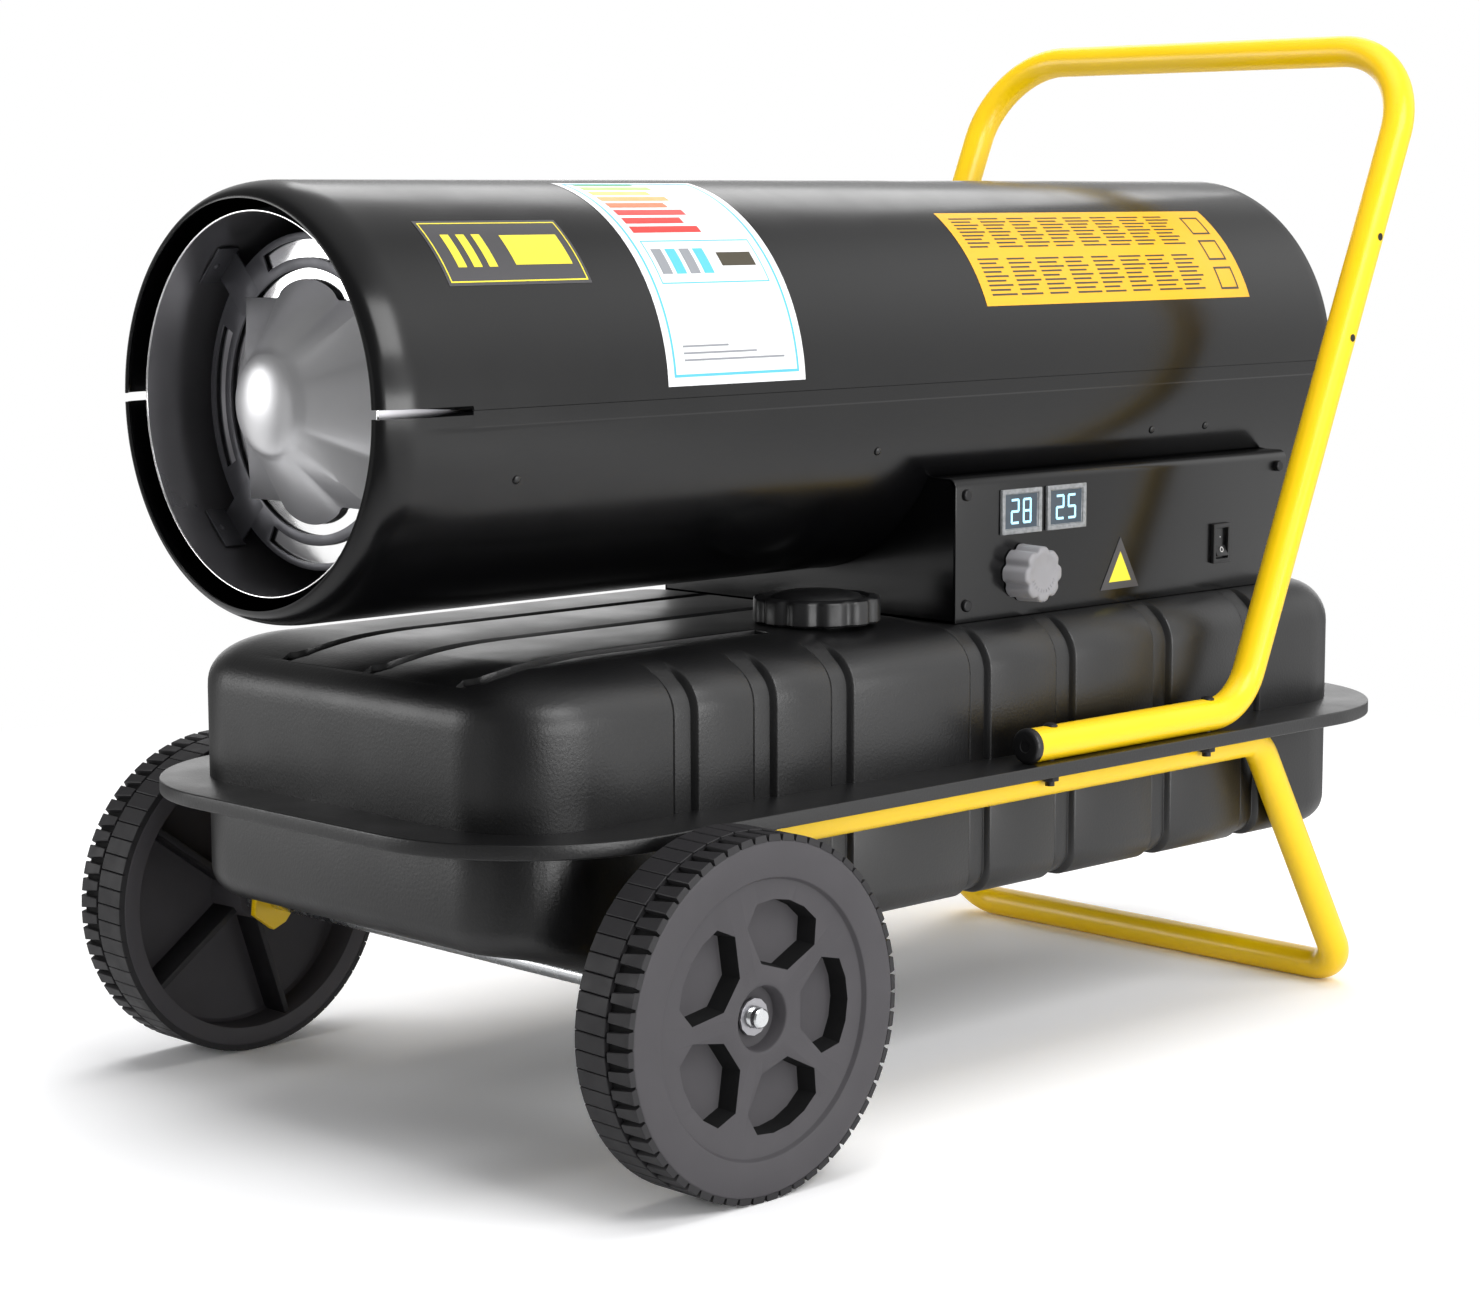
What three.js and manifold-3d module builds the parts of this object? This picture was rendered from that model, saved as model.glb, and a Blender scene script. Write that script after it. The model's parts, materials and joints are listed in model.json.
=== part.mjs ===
// Forced air heater on a two-wheel frame: barrel with burner, motor and fan, control box and fuel tank.
// Millimetres, +Z up. +X runs from the hot-air outlet to the rear, and the controls face -Y.
// X and Z are measured from the axle and the floor, and the finished group is set on its footprint.
import * as THREE from "three";
import { mergeVertices } from "three/addons/utils/BufferGeometryUtils.js";
import Module from "manifold-3d";

const wasm = await Module();
wasm.setup();

// ---- driving dimensions ----
const seat = 0.3; // gap between pieces that rest on each other
const axisSides = 32; // facets of everything that shares the barrel's axis
const smallSides = 16; // facets of small turned pieces

const wheel = {
  radius: 102,
  width: 43,
  gap: 13, // inner face to the tank's flange
  lugs: 28,
  lugDepth: 2.2,
  rimInner: 87,
  faceRadius: 77,
  faceRecess: 2.5,
  webThick: 8,
  hubRadius: 16,
  hubReach: 6, // hub past the inner face
  recessRadius: 18,
  recessDepth: 12,
  pockets: 5,
  pocketTurn: 180, // degrees, where the first pocket points
  pocketDepth: 5.5,
};
const axle = {
  radius: 6,
  fit: 0.4,
  endInset: 4,
  spacer: 13.9,
  spacerWall: 4.6,
  clipRadius: 10.5,
  clipThick: 1.6,
};

const barrel = {
  radius: 124,
  wall: 1.5,
  rise: 26, // tank top to the underside
  frontX: -153,
  length: 838,
  lipDepth: 26,
  lipDrop: 10,
  slotLength: 62,
  slotHeight: 5,
  lap: 10, // how far the lower shell reaches up behind the upper one
};
// Gaps here run inwards from the barrel or the piece outside, and insets along it from its nearer end.
const liner = { inset: 9.6, length: 123.4, mouthGap: 17.5, gap: 14, wall: 1.2 };
const chamber = { inset: 47, rearInset: 385, gap: 15, wall: 1.2 };
const spreader = {
  length: 37.5,
  wall: 1.4,
  lobeGap: 29,
  lobeHalf: 26, // degrees
  cornerGap: 12,
  nose: 19,
  noseDepth: 9,
};
const spreaderRing = {
  width: 20,
  thick: 1.2,
  armHalf: 11,
  tabLength: 14,
  rim: 4,
  innerRim: 6,
  bridge: 7,
};
const burner = { radius: 44, wall: 1.5, nose: 8, length: 80, plateInset: 48, plateThick: 2, throat: 18 };
const motor = { radius: 52, length: 120, rearInset: 125, bell: 6, shaftRadius: 5, shaftFit: 0.4 };
const pump = { radius: 38, length: 38, coverRadius: 32, coverLength: 14, shaftDepth: 18 };
const clamp = {
  wall: 2,
  legWidth: 16,
  motorInset: 30,
  motorWidth: 30,
  chamberInset: 70,
  chamberWidth: 20,
};
const fan = {
  rearInset: 110,
  depth: 30,
  hubRadius: 22,
  tipGap: 12,
  blades: 6,
  rootPitch: 60,
  tipPitch: 35,
  rootChord: 26,
  tipChord: 46,
  bladeThick: 1.4,
  rootSink: 3,
  shaftEnd: 6,
};
const guard = { inset: 8, wire: 2.4, rings: 3, spokes: 4, hub: 24 };

const tank = {
  halfWidth: 160,
  frontX: -95.5,
  rearX: 673,
  cornerRadius: 55,
  topZ: 281,
  bottomZ: 113,
  topEdge: 28,
  bottomEdge: 18,
  wall: 3.5, // sheet and bands together, plain inside
  bandX: [31, 94, 158, 280, 361, 458, 553], // pressed bands round both halves
  bandWidth: 21,
  bandDepth: 2,
  bandInner: 118, // where a band runs out on the top and the bottom
};
// In front of the control box the top rises by so much at these distances in from its edge rounding.
const crown = { boxGap: 15, cornerRadius: 27, rise: [[0, 0], [6, 3], [19, 5], [44, 6]] };
// Three pressed grooves, each with the same swung front end: [x, y beside its straight run].
const groove = {
  width: 12,
  depth: 2.8,
  y: [60, -17.5, -100],
  endX: [262, 262, 150],
  start: [[-75, 12], [-75, -2], [-68, -8], [-54, -12], [-26, -6], [5, 0]],
};
const flange = {
  topZ: 199.5,
  sideReach: 40,
  frontReach: 36.5,
  rearReach: 35,
  cornerRadius: 113,
  thick: 2,
  lipHeight: 8.8,
  lipWall: 2.5,
};
const filler = {
  x: 205,
  y: -92,
  neckRadius: 24,
  neckWall: 1.5,
  neckHeight: 15, // above the tank's top
  strainerDepth: 54,
  strainerWall: 1.2,
  strainerTaper: 3,
};
const cap = {
  radius: 39.5,
  skirtDrop: 8.5, // below the neck's top
  height: 15.5,
  roof: 3,
  crown: 3,
  flutes: 12,
  fluteDepth: 2,
  bore: 25.5,
  sealBore: 17,
};

const box = {
  frontX: 287,
  rearX: 625,
  sideGap: 8, // wider than the barrel on each side
  height: 90.2,
  sheet: 1.5,
  bend: 6,
  ledgeGap: 0.8,
  earHalf: 7,
};
const panelScrew = {
  insetX: 9.5,
  insetZ: 10.5,
  head: 3.8,
  headHeight: 2.4,
  shank: 1.9,
  hole: 2.3,
  length: 9,
};
const display = { insetX: [60, 103.5], drop: 23.5, width: 38, height: 28.5, lip: 2, bezel: 2.3 };
const knob = { insetX: 61, rise: 27.7, radius: 18, height: 19, flutes: 8, fluteDepth: 1.8, shaft: 3 };
const rocker = { insetX: 72.5, rise: 31.2, width: 12, height: 20, tilt: 10, frame: 3, pivotDepth: 3 };
const board = { depth: 18.3, thick: 1.6, sideMargin: 24, topMargin: 14 };
const thermostat = { half: 13 };
const transformer = {
  length: 90,
  width: 60,
  height: 34,
  rearInset: 85,
  sideGap: 8,
  hornRadius: 5,
  hornLength: 10,
  hornRise: 20,
};
const gland = { inset: 36, rise: 24.7, bore: 3.5, neck: 6, flange: 9.5, nut: 8.5, tip: 7.5, length: 18 };
const fuelLine = { radius: 3.5, hole: 5, gap: 28, y: 40, tankGap: 12 };
const airLine = { radius: 4, y: 14, rise: 16 };

const pipe = { radius: 10.65, wall: 1.6, sides: 10, boreSides: 8 };
const handle = {
  inset: 12, // centreline to the flange's edge
  frontX: 294,
  bendX: 501.8,
  barX: 689,
  barZ: 643,
  lowBend: 42,
  topBend: 62,
  boltX: [313, 469],
};
const stand = {
  gap: 1.35, // rail to the tank's side
  frontX: 62,
  bendX: 543,
  barX: 646,
  rearBend: 24,
  footBend: 24,
  frontBend: 20,
  tabThick: 5,
  tabHalf: 15,
  tabTail: 17, // past the axle
  flatEnd: 22, // along the leg from the axle, where the pipe is pressed flat
  roundEnd: 46, // and where it is still round
  legKnee: 56, // and where it turns in towards the tank
  kneeBend: 30,
  drainRadius: 2.5,
  drainInset: 40,
  lugHalf: 12,
  lugThick: 4,
  lugReach: 8.5, // past the bolt's centre
};
const bolt = { radius: 3, fit: 0.4, head: 4.8, headHeight: 2, nut: 5.8, nutHeight: 4.2, tail: 3 };
const spareHoleX = 111; // third pair of holes in the flange

// ---- sizes and places that follow ----
filler.neckTop = tank.topZ + filler.neckHeight;
cap.skirtZ = filler.neckTop - cap.skirtDrop;
cap.ceilingZ = cap.skirtZ + cap.height - cap.roof;
barrel.axisZ = tank.topZ + barrel.rise + barrel.radius;
barrel.rearX = barrel.frontX + barrel.length;
barrel.inner = barrel.radius - barrel.wall;
barrel.lapInner = barrel.inner - barrel.wall - 2 * seat; // clears the lower shell's lap
liner.frontX = barrel.frontX + liner.inset;
liner.flangeX = liner.frontX + liner.length;
liner.frontRadius = barrel.radius - liner.mouthGap;
liner.radius = barrel.radius - liner.gap;
chamber.frontX = barrel.frontX + chamber.inset;
chamber.rearX = barrel.rearX - chamber.rearInset;
chamber.radius = liner.radius - chamber.gap;
spreader.lobe = chamber.radius - spreader.lobeGap;
spreader.corner = chamber.radius - spreader.cornerGap;
spreaderRing.bore = chamber.radius - spreaderRing.width;
burner.frontX = chamber.rearX - burner.nose;
burner.rearX = burner.frontX + burner.length;
burner.plateX = burner.frontX + burner.plateInset;
motor.rearX = barrel.rearX - motor.rearInset;
motor.frontX = motor.rearX - motor.length;
fan.frontX = barrel.rearX - fan.rearInset;
fan.tipRadius = barrel.radius - fan.tipGap;
guard.x = barrel.rearX - guard.inset;
flange.halfWidth = tank.halfWidth + flange.sideReach;
flange.frontX = tank.frontX - flange.frontReach;
flange.rearX = tank.rearX + flange.rearReach;
wheel.track = flange.halfWidth + wheel.gap + wheel.width; // mid-plane to the outer face
wheel.hubEnd = wheel.track - wheel.width - wheel.hubReach;
handle.y = flange.halfWidth - handle.inset;
stand.railY = tank.halfWidth + pipe.radius + stand.gap;
stand.tabY = wheel.hubEnd - axle.spacer - 2 * seat - stand.tabThick / 2;
box.floorZ = tank.topZ + seat;
box.topZ = box.floorZ + box.height;
box.halfWidth = barrel.radius + box.sideGap;
box.ledgeInner = Math.sqrt(barrel.radius ** 2 - (barrel.axisZ - box.topZ) ** 2) + box.ledgeGap;
display.x = display.insetX.map((inset) => box.frontX + inset);
display.z = box.topZ - display.drop;
knob.x = box.frontX + knob.insetX;
knob.z = box.floorZ + knob.rise;
rocker.x = box.rearX - rocker.insetX;
rocker.z = box.floorZ + rocker.rise;
board.y = box.halfWidth - board.depth;
gland.centre = [0, gland.inset - box.halfWidth, box.floorZ + gland.rise];
fuelLine.x = burner.rearX + fuelLine.gap;
pipe.innerRadius = pipe.radius - pipe.wall;

// ---- finishes ----
const finish = (color, roughness, metalness = 0) =>
  new THREE.MeshStandardMaterial({ color, roughness, metalness });
const glossBlack = finish(0x0d0d0e, 0.25);
const satinBlack = finish(0x1d1d1f, 0.55);
const yellowCoat = finish(0xffd81a, 0.3);
const greyPlastic = finish(0x4a494c, 0.6);
const blackPlastic = finish(0x1a1a1c, 0.45);
const knobGrey = finish(0x8f8f92, 0.5);
const steel = finish(0xb8babd, 0.35, 1);
const darkSteel = finish(0x2b2b2d, 0.5, 0.8);
const zinc = finish(0xc9cbcd, 0.3, 1);
const copper = finish(0xb0693c, 0.4, 1);
const rubber = finish(0x121212, 0.85);
const displayDark = finish(0x23343f, 0.2);
const boardGreen = finish(0x1f5a35, 0.6);
const ceramic = finish(0xe8e4da, 0.6);

// ---- solids ----
// A closed geometry as a solid, with shared corners merged and its faces turned outwards.
function solid(geometry) {
  const plain = new THREE.BufferGeometry();
  plain.setAttribute("position", geometry.getAttribute("position"));
  if (geometry.index) plain.setIndex(geometry.index);
  const merged = mergeVertices(plain, 1e-4);
  const at = merged.getAttribute("position");
  const corner = [new THREE.Vector3(), new THREE.Vector3(), new THREE.Vector3()];
  const faces = [];
  let volume = 0;
  for (let i = 0; i < merged.index.count; i += 3) {
    const face = [0, 1, 2].map((k) => merged.index.getX(i + k));
    if (new Set(face).size < 3) continue;
    face.forEach((v, k) => corner[k].fromBufferAttribute(at, v));
    volume += corner[0].dot(corner[1].clone().cross(corner[2]));
    faces.push(face);
  }
  if (volume < 0) faces.forEach((face) => face.reverse());
  return new wasm.Manifold(
    new wasm.Mesh({ numProp: 3, vertProperties: at.array, triVerts: new Uint32Array(faces.flat()) }),
  );
}

const joined = (first, ...rest) => rest.reduce((sum, next) => sum.add(next), first);
const cut = (body, ...tools) => tools.reduce((left, tool) => left.subtract(tool), body);

// Bases that turn a drawing plane's own u, v and depth towards an axis.
const extrudeBasis = {
  x: [new THREE.Vector3(0, 1, 0), new THREE.Vector3(0, 0, 1), new THREE.Vector3(1, 0, 0)],
  y: [new THREE.Vector3(1, 0, 0), new THREE.Vector3(0, 0, 1), new THREE.Vector3(0, -1, 0)],
  z: [new THREE.Vector3(1, 0, 0), new THREE.Vector3(0, 1, 0), new THREE.Vector3(0, 0, 1)],
};
const turnBasis = {
  x: [new THREE.Vector3(0, 0, 1), new THREE.Vector3(1, 0, 0), new THREE.Vector3(0, 1, 0)],
  y: [new THREE.Vector3(1, 0, 0), new THREE.Vector3(0, 1, 0), new THREE.Vector3(0, 0, 1)],
  z: [new THREE.Vector3(1, 0, 0), new THREE.Vector3(0, 0, 1), new THREE.Vector3(0, -1, 0)],
};

function block(xs, ys, zs) {
  const size = [xs, ys, zs].map(([low, high]) => high - low);
  const middle = [xs, ys, zs].map(([low, high]) => (low + high) / 2);
  return solid(new THREE.BoxGeometry(...size).translate(...middle));
}

// A shape drawn across an axis (y, z for x; x, z for y; x, y for z) and given depth from low to high.
function plate(axis, shape, low, high, curveSegments = 8) {
  const geometry = new THREE.ExtrudeGeometry(shape, {
    depth: high - low,
    bevelEnabled: false,
    curveSegments,
  });
  geometry.applyMatrix4(new THREE.Matrix4().makeBasis(...extrudeBasis[axis]));
  const shift = { x: [low, 0, 0], y: [0, high, 0], z: [0, 0, low] }[axis];
  return solid(geometry.translate(...shift));
}

// A closed outline of [along, radius] points turned round an axis through centre.
function turned(axis, outline, centre = [0, 0, 0], sides = 24) {
  const points = [...outline, outline[0]].map(([along, radius]) => new THREE.Vector2(radius, along));
  const geometry = new THREE.LatheGeometry(points, sides);
  geometry.applyMatrix4(new THREE.Matrix4().makeBasis(...turnBasis[axis]));
  return solid(geometry.translate(...centre));
}

const tubeOutline = (low, high, inner, outer) => [
  [low, inner],
  [low, outer],
  [high, outer],
  [high, inner],
];
const rod = (axis, radius, low, high, centre, sides = 16) =>
  turned(axis, tubeOutline(low, high, 0, radius), centre, sides);

const barrelCentre = [0, 0, barrel.axisZ];
const onBarrel = (outline, sides = axisSides) => turned("x", outline, barrelCentre, sides);

function polygon(points) {
  return new THREE.Shape(points.map(([u, v]) => new THREE.Vector2(u, v)));
}

// The plan of a tank half or flange: a rectangle with round corners, as points.
function roundedPlan(lowX, highX, halfWidth, radius, cornerSteps = 3) {
  const points = [];
  const centres = [
    [highX - radius, halfWidth - radius, 0],
    [lowX + radius, halfWidth - radius, 90],
    [lowX + radius, radius - halfWidth, 180],
    [highX - radius, radius - halfWidth, 270],
  ];
  for (const [x, y, start] of centres) {
    for (let step = 0; step <= cornerSteps; step++) {
      const angle = THREE.MathUtils.degToRad(start + (90 * step) / cornerSteps);
      points.push([x + radius * Math.cos(angle), y + radius * Math.sin(angle)]);
    }
  }
  return points;
}

// Rings of equally many points, skinned in order and closed with flat ends.
function skin(rings) {
  const count = rings[0].length;
  const positions = rings.flat(2);
  const index = [];
  for (let ring = 0; ring + 1 < rings.length; ring++) {
    for (let i = 0; i < count; i++) {
      const next = (i + 1) % count;
      const [a, b] = [ring * count + i, ring * count + next];
      index.push(a, b, b + count, a, b + count, a + count);
    }
  }
  const last = (rings.length - 1) * count;
  for (let i = 1; i + 1 < count; i++) index.push(0, i + 1, i, last, last + i, last + i + 1);
  const geometry = new THREE.BufferGeometry();
  geometry.setAttribute("position", new THREE.Float32BufferAttribute(positions, 3));
  return geometry.setIndex(index);
}
const loft = (rings) => solid(skin(rings));

// A pipe's centreline: straight runs between corners, with stations at their ends and along each bend.
class PipeRoute extends THREE.Curve {
  constructor(corners, bends, degreesPerStep = 22.5) {
    super();
    const at = corners.map((p) => new THREE.Vector3(...p));
    const way = at.slice(1).map((p, i) => p.clone().sub(at[i]).normalize());
    this.stations = [[at[0], way[0]]];
    for (let i = 1; i + 1 < at.length; i++) {
      const [before, after] = [way[i - 1], way[i]];
      const turn = before.angleTo(after);
      const reach = bends[i - 1] * Math.tan(turn / 2);
      const inwards = after.clone().sub(before).normalize();
      const centre = at[i].clone().addScaledVector(inwards, bends[i - 1] / Math.cos(turn / 2));
      const start = at[i].clone().addScaledVector(before, -reach).sub(centre);
      const pivot = before.clone().cross(after).normalize();
      const steps = Math.max(1, Math.round(THREE.MathUtils.radToDeg(turn) / degreesPerStep));
      for (let step = 0; step <= steps; step++) {
        const angle = (turn * step) / steps;
        const point = start.clone().applyAxisAngle(pivot, angle).add(centre);
        this.stations.push([point, before.clone().applyAxisAngle(pivot, angle)]);
      }
    }
    this.stations.push([at[at.length - 1], way[way.length - 1]]);
  }
  station(t) {
    return this.stations[Math.round(t * (this.stations.length - 1))];
  }
  getPointAt(t) {
    return this.station(t)[0].clone();
  }
  getTangentAt(t) {
    return this.station(t)[1].clone();
  }
}

function alongRoute(route, radius, sides) {
  const section = new THREE.Shape().absarc(0, 0, radius, 0, 2 * Math.PI, false);
  return solid(
    new THREE.ExtrudeGeometry(section, {
      steps: route.stations.length - 1,
      curveSegments: sides / 2,
      extrudePath: route,
      bevelEnabled: false,
    }),
  );
}

// ---- the finished assembly ----
const heater = new THREE.Group();

function addPiece(name, body, material, position = [0, 0, 0], rotation = [0, 0, 0]) {
  const made = body.getMesh();
  const count = made.numProp;
  const positions = new Float32Array(made.numVert * 3);
  for (let i = 0; i < made.numVert; i++) {
    positions.set(made.vertProperties.subarray(i * count, i * count + 3), i * 3);
  }
  const geometry = new THREE.BufferGeometry();
  geometry.setAttribute("position", new THREE.BufferAttribute(positions, 3));
  geometry.setIndex(new THREE.BufferAttribute(new Uint32Array(made.triVerts), 1));
  geometry.computeVertexNormals();
  const mesh = new THREE.Mesh(geometry, material);
  mesh.name = name;
  mesh.position.set(...position);
  mesh.rotation.set(...rotation);
  heater.add(mesh);
  return mesh;
}

const sides = [
  { name: "left", y: -1 },
  { name: "right", y: 1 },
];
const degrees = THREE.MathUtils.degToRad;

// ---- barrel ----
// Outline of the rolled front lip, the wall and the open rear end.
function shellOutline() {
  const { frontX, radius, lipDepth, lipDrop, wall, length } = barrel;
  const centre = [frontX + lipDepth, radius - lipDrop];
  const arc = (depth, rise) =>
    [0, 30, 60, 90].map((angle) => [
      centre[0] - depth * Math.cos(degrees(angle)),
      centre[1] + rise * Math.sin(degrees(angle)),
    ]);
  const outer = arc(lipDepth, lipDrop);
  const inner = arc(lipDepth - wall, lipDrop - wall);
  return [...outer, [frontX + length, radius], [frontX + length, radius - wall], ...inner.reverse()];
}

const wide = barrel.radius + 10; // outside everything on the barrel

function halfSpace(upper, gap) {
  const xs = [barrel.frontX - 1, barrel.rearX + 1];
  const near = barrel.axisZ + (upper ? gap : -gap);
  const far = barrel.axisZ + (upper ? wide : -wide);
  return block(xs, [-wide, wide], [Math.min(near, far), Math.max(near, far)]);
}

const fuelLineHole = (low, high) => rod("z", fuelLine.hole, low, high, [fuelLine.x, fuelLine.y, 0], 12);

function makeShells() {
  const slotEndX = barrel.frontX + barrel.slotLength;
  const ring = onBarrel(shellOutline());
  const slot = block(
    [barrel.frontX - 1, slotEndX],
    [-wide, wide],
    [barrel.axisZ - barrel.slotHeight / 2, barrel.axisZ + barrel.slotHeight / 2],
  );
  addPiece("upper_shell", cut(ring.intersect(halfSpace(true, seat / 2)), slot), glossBlack);

  // The lower shell is doubled at its edges, and the inner layer reaches up behind the upper shell.
  const lapXs = [slotEndX, barrel.rearX];
  const lapOuter = barrel.inner - seat;
  const lapTube = onBarrel(tubeOutline(...lapXs, lapOuter - barrel.wall, lapOuter));
  const backing = onBarrel(tubeOutline(...lapXs, lapOuter - barrel.wall, barrel.inner + seat));
  const band = block(lapXs, [-wide, wide], [barrel.axisZ - barrel.lap, barrel.axisZ + barrel.lap]);
  const below = halfSpace(false, seat / 2);
  const lower = joined(
    cut(ring.intersect(below), slot),
    lapTube.intersect(band),
    backing.intersect(band).intersect(below),
  );
  addPiece("lower_shell", cut(lower, fuelLineHole(box.floorZ, barrel.axisZ)), glossBlack);
}

// ---- burner ----
function linerRadius(x) {
  const share = (x - liner.frontX) / (liner.flangeX - liner.frontX);
  return liner.frontRadius + (liner.radius - liner.frontRadius) * share;
}

function makeLiner() {
  const { frontX, frontRadius, radius, flangeX, wall } = liner;
  const outline = [
    [frontX, frontRadius],
    [flangeX, radius],
    [flangeX, barrel.lapInner],
    [flangeX - wall, barrel.lapInner],
    [flangeX - wall, radius + wall],
    [frontX, frontRadius + wall],
  ];
  addPiece("outlet_funnel", onBarrel(outline), darkSteel);
}

function makeChamber() {
  const { frontX, rearX, radius, wall } = chamber;
  const outline = [
    [frontX, radius - wall],
    [frontX, radius],
    [rearX, radius],
    [rearX, burner.radius + 2 * seat],
    [rearX - wall, burner.radius + 2 * seat],
    [rearX - wall, radius - wall],
  ];
  addPiece("combustion_chamber", onBarrel(outline), steel);
}

// A clamp ring round a body, with three straight legs out to the shell.
function spider(lowX, highX, bodyRadius) {
  const { wall, legWidth } = clamp;
  const bore = bodyRadius + seat;
  const reach = barrel.inner - seat;
  const ring = onBarrel(tubeOutline(lowX, highX, bore, bore + wall));
  const legs = [90, 210, 330].map((angle) => {
    const leg = polygon([
      [bore + wall / 2, -legWidth / 2],
      [reach, -legWidth / 2],
      [reach, legWidth / 2],
      [bore + wall / 2, legWidth / 2],
    ]);
    const geometry = new THREE.ExtrudeGeometry(leg, { depth: highX - lowX, bevelEnabled: false });
    geometry.applyMatrix4(new THREE.Matrix4().makeBasis(...extrudeBasis.x));
    geometry.rotateX(degrees(angle));
    return solid(geometry.translate(lowX, 0, barrel.axisZ));
  });
  return joined(ring, ...legs).intersect(onBarrel(tubeOutline(lowX, highX, bore, reach)));
}

// The front ring of the chamber, pierced by arc slots, with four tabs bent along the liner.
function makeSpreaderBracket() {
  const { thick, bore, armHalf, tabLength, rim, innerRim, bridge } = spreaderRing;
  const rear = chamber.frontX - seat;
  const xs = [rear - thick, rear];
  const outer = chamber.radius;
  const tabTop = linerRadius(rear - tabLength) - armHalf * Math.tan(Math.PI / axisSides) - seat;
  const ring = onBarrel(tubeOutline(...xs, bore, outer));
  const slotRing = onBarrel(tubeOutline(xs[0] - 1, xs[1] + 1, bore + innerRim, outer - rim));
  const quarters = [45, 135, 225, 315];
  const arms = quarters.map((angle) => {
    const arm = new THREE.BoxGeometry(thick, tabTop - bore - 1, 2 * armHalf);
    arm.translate(xs[0] + thick / 2, (tabTop + bore + 1) / 2, 0);
    const tab = new THREE.BoxGeometry(tabLength, thick, 2 * armHalf);
    tab.translate(rear - tabLength / 2, tabTop - thick / 2, 0);
    return [arm, tab].map((g) => solid(g.rotateX(degrees(angle)).translate(...barrelCentre)));
  });
  const spokes = quarters.map((angle) => {
    const keep = new THREE.BoxGeometry(8, outer + 10, 2 * (armHalf + bridge));
    keep.translate(xs[0], (outer + 10) / 2, 0);
    return solid(keep.rotateX(degrees(angle)).translate(...barrelCentre));
  });
  const pierced = cut(ring, cut(slotRing, ...spokes));
  addPiece("spreader_bracket", joined(pierced, ...arms.flat()), darkSteel);
}

// A pressed star: a square pyramid with a round nose, and a bulged lobe on each of its four faces.
function starRadius(angle, share, inset) {
  const folded = Math.abs(((((angle + 45) % 90) + 90) % 90) - 45);
  const side = spreader.corner * Math.SQRT1_2;
  const bulge = folded < spreader.lobeHalf ? Math.cos((degrees(90) * folded) / spreader.lobeHalf) : 0;
  const rim = side / Math.cos(degrees(folded)) + (spreader.lobe - side) * bulge;
  const body = spreader.nose + (rim - spreader.nose) * share;
  return body - inset;
}

function makeSpreader() {
  const { length, wall, nose, noseDepth } = spreader;
  const steps = 24;
  const front = chamber.frontX - 2 * seat - spreaderRing.thick - length;
  const rings = [];
  const ringAt = (x, radiusOf) => {
    const ring = [];
    for (let i = 0; i < steps; i++) {
      const angle = (360 * i) / steps;
      const radius = radiusOf(angle);
      ring.push([x, radius * Math.cos(degrees(angle)), barrel.axisZ + radius * Math.sin(degrees(angle))]);
    }
    rings.push(ring);
  };
  const noseAngles = [25, 58];
  const shares = [0, 0.35, 0.7, 1];
  const bodyX = (share) => front + noseDepth + (length - noseDepth) * share;
  const noseRing = (angle, inset) => {
    const x = front + inset + noseDepth * (1 - Math.cos(degrees(angle)));
    ringAt(x, () => (nose - inset) * Math.sin(degrees(angle)));
  };
  for (const angle of noseAngles) noseRing(angle, 0);
  for (const share of shares) ringAt(bodyX(share), (angle) => starRadius(angle, share, 0));
  for (const share of [...shares].reverse()) {
    const back = Math.min(bodyX(share) + (share < 1 ? wall : 0), bodyX(1));
    ringAt(back, (angle) => starRadius(angle, share, wall));
  }
  for (const angle of [...noseAngles].reverse()) noseRing(angle, wall);
  addPiece("flame_spreader", loft(rings), steel);
}

function makeBurner() {
  const { radius, wall, throat, frontX, rearX, plateX, plateThick } = burner;
  const headOutline = [
    [frontX, throat],
    [frontX, radius],
    [rearX, radius],
    [rearX, radius - wall],
    [frontX + wall, radius - wall],
    [frontX + wall, throat],
  ];
  addPiece("burner_head", onBarrel(headOutline, 24), steel);

  const plateRadius = radius - wall - seat;
  addPiece("nozzle_plate", onBarrel(tubeOutline(plateX, plateX + plateThick, 0, plateRadius), 24), zinc);

  const nozzleOutline = [
    [frontX + 6, 0],
    [frontX + 6, 2],
    [frontX + 12, 6],
    [frontX + 20, 6],
    [frontX + 20, 9],
    [plateX - seat, 9],
    [plateX - seat, 0],
  ];
  addPiece("fuel_nozzle", onBarrel(nozzleOutline, 12), copper);

  const electrodeY = 20;
  const holder = block(
    [plateX - 22, plateX - seat],
    [electrodeY - 4, electrodeY + 4],
    [barrel.axisZ - 9, barrel.axisZ + 9],
  );
  const pins = [-5, 5].map((z) =>
    rod("x", 1.3, frontX + 5, plateX - 20, [0, electrodeY, barrel.axisZ + z], 8),
  );
  addPiece("ignition_electrode", joined(holder, ...pins), ceramic);

  const sensorCentre = [0, -22, barrel.axisZ - 14];
  const sensor = rod("x", 7, plateX + plateThick + seat, plateX + 28, sensorCentre, 16);
  addPiece("flame_sensor", sensor, blackPlastic);
}

// ---- motor, pump and fan ----
const pumpRearX = motor.frontX - seat;
const pumpFrontX = pumpRearX - pump.length;

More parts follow.
